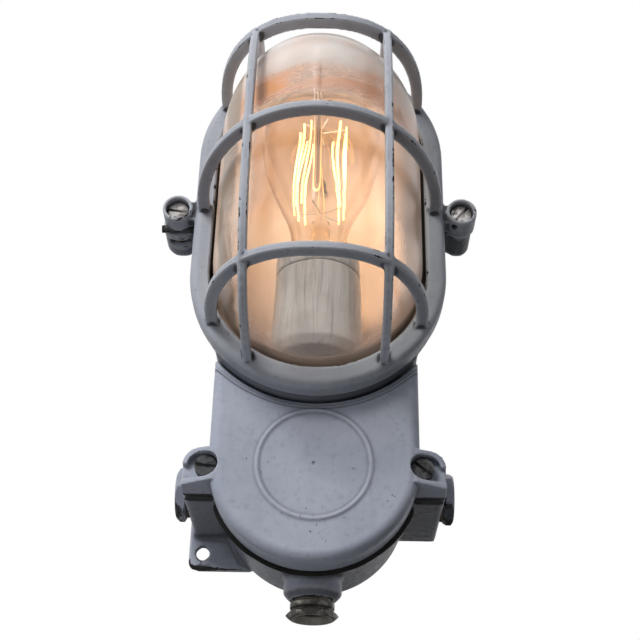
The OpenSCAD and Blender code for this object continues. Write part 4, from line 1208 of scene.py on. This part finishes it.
@dataclass
class Stage:
    """Camera, lamps, floor and backdrop. Places are in metres, turns in radians."""

    eye: Point = (0.00917, -0.5381, -0.2687)
    lens: float = 63.96
    pitch: float = 0.508
    yaw: float = 0.017
    roll: float = 0.023
    floor_z: float = -0.80
    floor_half: float = 3.0
    glow: float = 0.057
    glow_tint: Colour = (1.0, 0.82, 0.70)
    glow_size: float = 0.006
    glow_at: Point = (0.0135, -0.0790, 0.078)

    def build_camera(self) -> None:
        """Puts the camera below and in front of the light, looking up."""
        c, s = cos(self.pitch), sin(self.pitch)
        cy, sy = cos(self.yaw), sin(self.yaw)
        right = Vector((cy, sy, 0))
        ahead = Vector((-sy * c, cy * c, s))
        up = Vector((sy * s, -cy * s, c))
        across = right * cos(self.roll) + up * sin(self.roll)
        above = up * cos(self.roll) - right * sin(self.roll)
        data = bpy.data.cameras.new("camera")
        data.lens, data.sensor_width, data.clip_start = self.lens, 36.0, 0.01
        camera = new_object(data)
        turn = Matrix((across, above, -ahead)).transposed().to_4x4()
        camera.matrix_world = Matrix.Translation(self.eye) @ turn
        bpy.context.scene.camera = camera

    def lamp(self, name: str, at: Point, size: float, power: float, tint: Colour, high: float = 0.0,
             aim: Point = (0.0, -0.05, 0.0)) -> None:
        """Adds a soft lamp: a square that gloss doesn't show, or a tall streak for gloss alone.

        Args:
            name: the lamp's name.
            at: its place.
            size: its width, in metres.
            power: its power in watts.
            tint: its colour.
            high: the streak's height in metres, or 0 for a square.
            aim: what it points at.
        """
        data = bpy.data.lights.new(name, "AREA")
        data.size, data.energy, data.color = size, power, tint
        made = new_object(data)
        made.location = at
        made.rotation_euler = (Vector(aim) - Vector(at)).to_track_quat("-Z", "Y").to_euler()
        made.visible_transmission = False
        if high:
            data.shape, data.size_y = "RECTANGLE", high
            made.visible_camera = made.visible_diffuse = False
        else:
            data.shape = "SQUARE"
            made.visible_glossy = False

    def build_lamps(self) -> None:
        """Lights the scene from the upper left, with weaker fills, and hangs two small glows in the bulb."""
        self.lamp("key", (-0.55, -1.05, 0.62), 0.45, 13.8, (1.0, 0.99, 0.97))
        self.lamp("fill", (0.9, -0.9, 0.1), 0.9, 0.5, (0.97, 0.98, 1.0))
        self.lamp("streak", (-0.10, -1.10, 0.95), 0.10, 2.6, (1.0, 0.93, 0.94), 1.5, (0, -0.1, 0.05))
        self.lamp("low", (-0.85, -0.70, -0.30), 0.6, 1.5, (0.98, 0.98, 1.0))
        self.lamp("top", (0.1, 0.1, 1.1), 0.8, 3.0, (1.0, 1.0, 1.0))
        out, depth, level = self.glow_at
        for name, x in (("bulb_glow_left", -out), ("bulb_glow_right", out)):
            data = bpy.data.lights.new(name, "POINT")
            data.energy, data.color, data.shadow_soft_size = self.glow / 2, self.glow_tint, self.glow_size
            made = new_object(data)
            made.location = (x, depth, level)
            made.visible_camera = made.visible_glossy = made.visible_transmission = False

    def build_world(self) -> None:
        """A white backdrop for the camera and for reflections, and a dimmer sky for light."""
        g = Graph(bpy.data.worlds.new("backdrop"), "OutputWorld")
        paper = g.new("Background", Color=(1.0, 1.0, 1.0), Strength=1.0)
        sky = g.new("Background", Color=(0.95, 0.97, 1.0), Strength=0.10)
        rays = g.new("LightPath").outputs
        seen = g.calc("MAXIMUM", rays["Is Camera Ray"], rays["Is Glossy Ray"])
        g.mixed(g.calc("MAXIMUM", seen, rays["Is Transmission Ray"]), sky, paper)
        bpy.context.scene.world = g.owner

    def build_floor(self) -> None:
        """A plain pale floor under the camera."""
        h, z = self.floor_half, self.floor_z
        mesh = bpy.data.meshes.new("floor")
        mesh.from_pydata([(-h, -h, z), (h, -h, z), (h, h, z), (-h, h, z)], [], [(0, 1, 2, 3)])
        floor = new_object(mesh)
        g = Graph(bpy.data.materials.new("floor_pale"))
        tone = g.blend(g.span(g.noise(3.0, 2.0), 0.3, 0.7), (0.54, 0.54, 0.54), (0.58, 0.58, 0.58))
        g.surface(Base_Color=tone, Roughness=0.9)
        mesh.materials.append(g.owner)

    def build(self) -> None:
        """Builds the stage."""
        self.build_camera()
        self.build_lamps()
        self.build_world()
        self.build_floor()
        bpy.context.scene.view_settings.view_transform = "Standard"


def main() -> None:
    """Builds the light and its stage, and reports each piece."""
    logging.basicConfig(level=logging.INFO, format="%(name)s: %(message)s")
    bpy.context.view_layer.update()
    shop = Workshop(Finishes())
    Stage().build()
    for part in (Castings(shop), Globe(shop), Bulb(shop), Holder(shop), Entries(shop), Fittings(shop)):
        part.build()


if __name__ == "__main__":
    main()
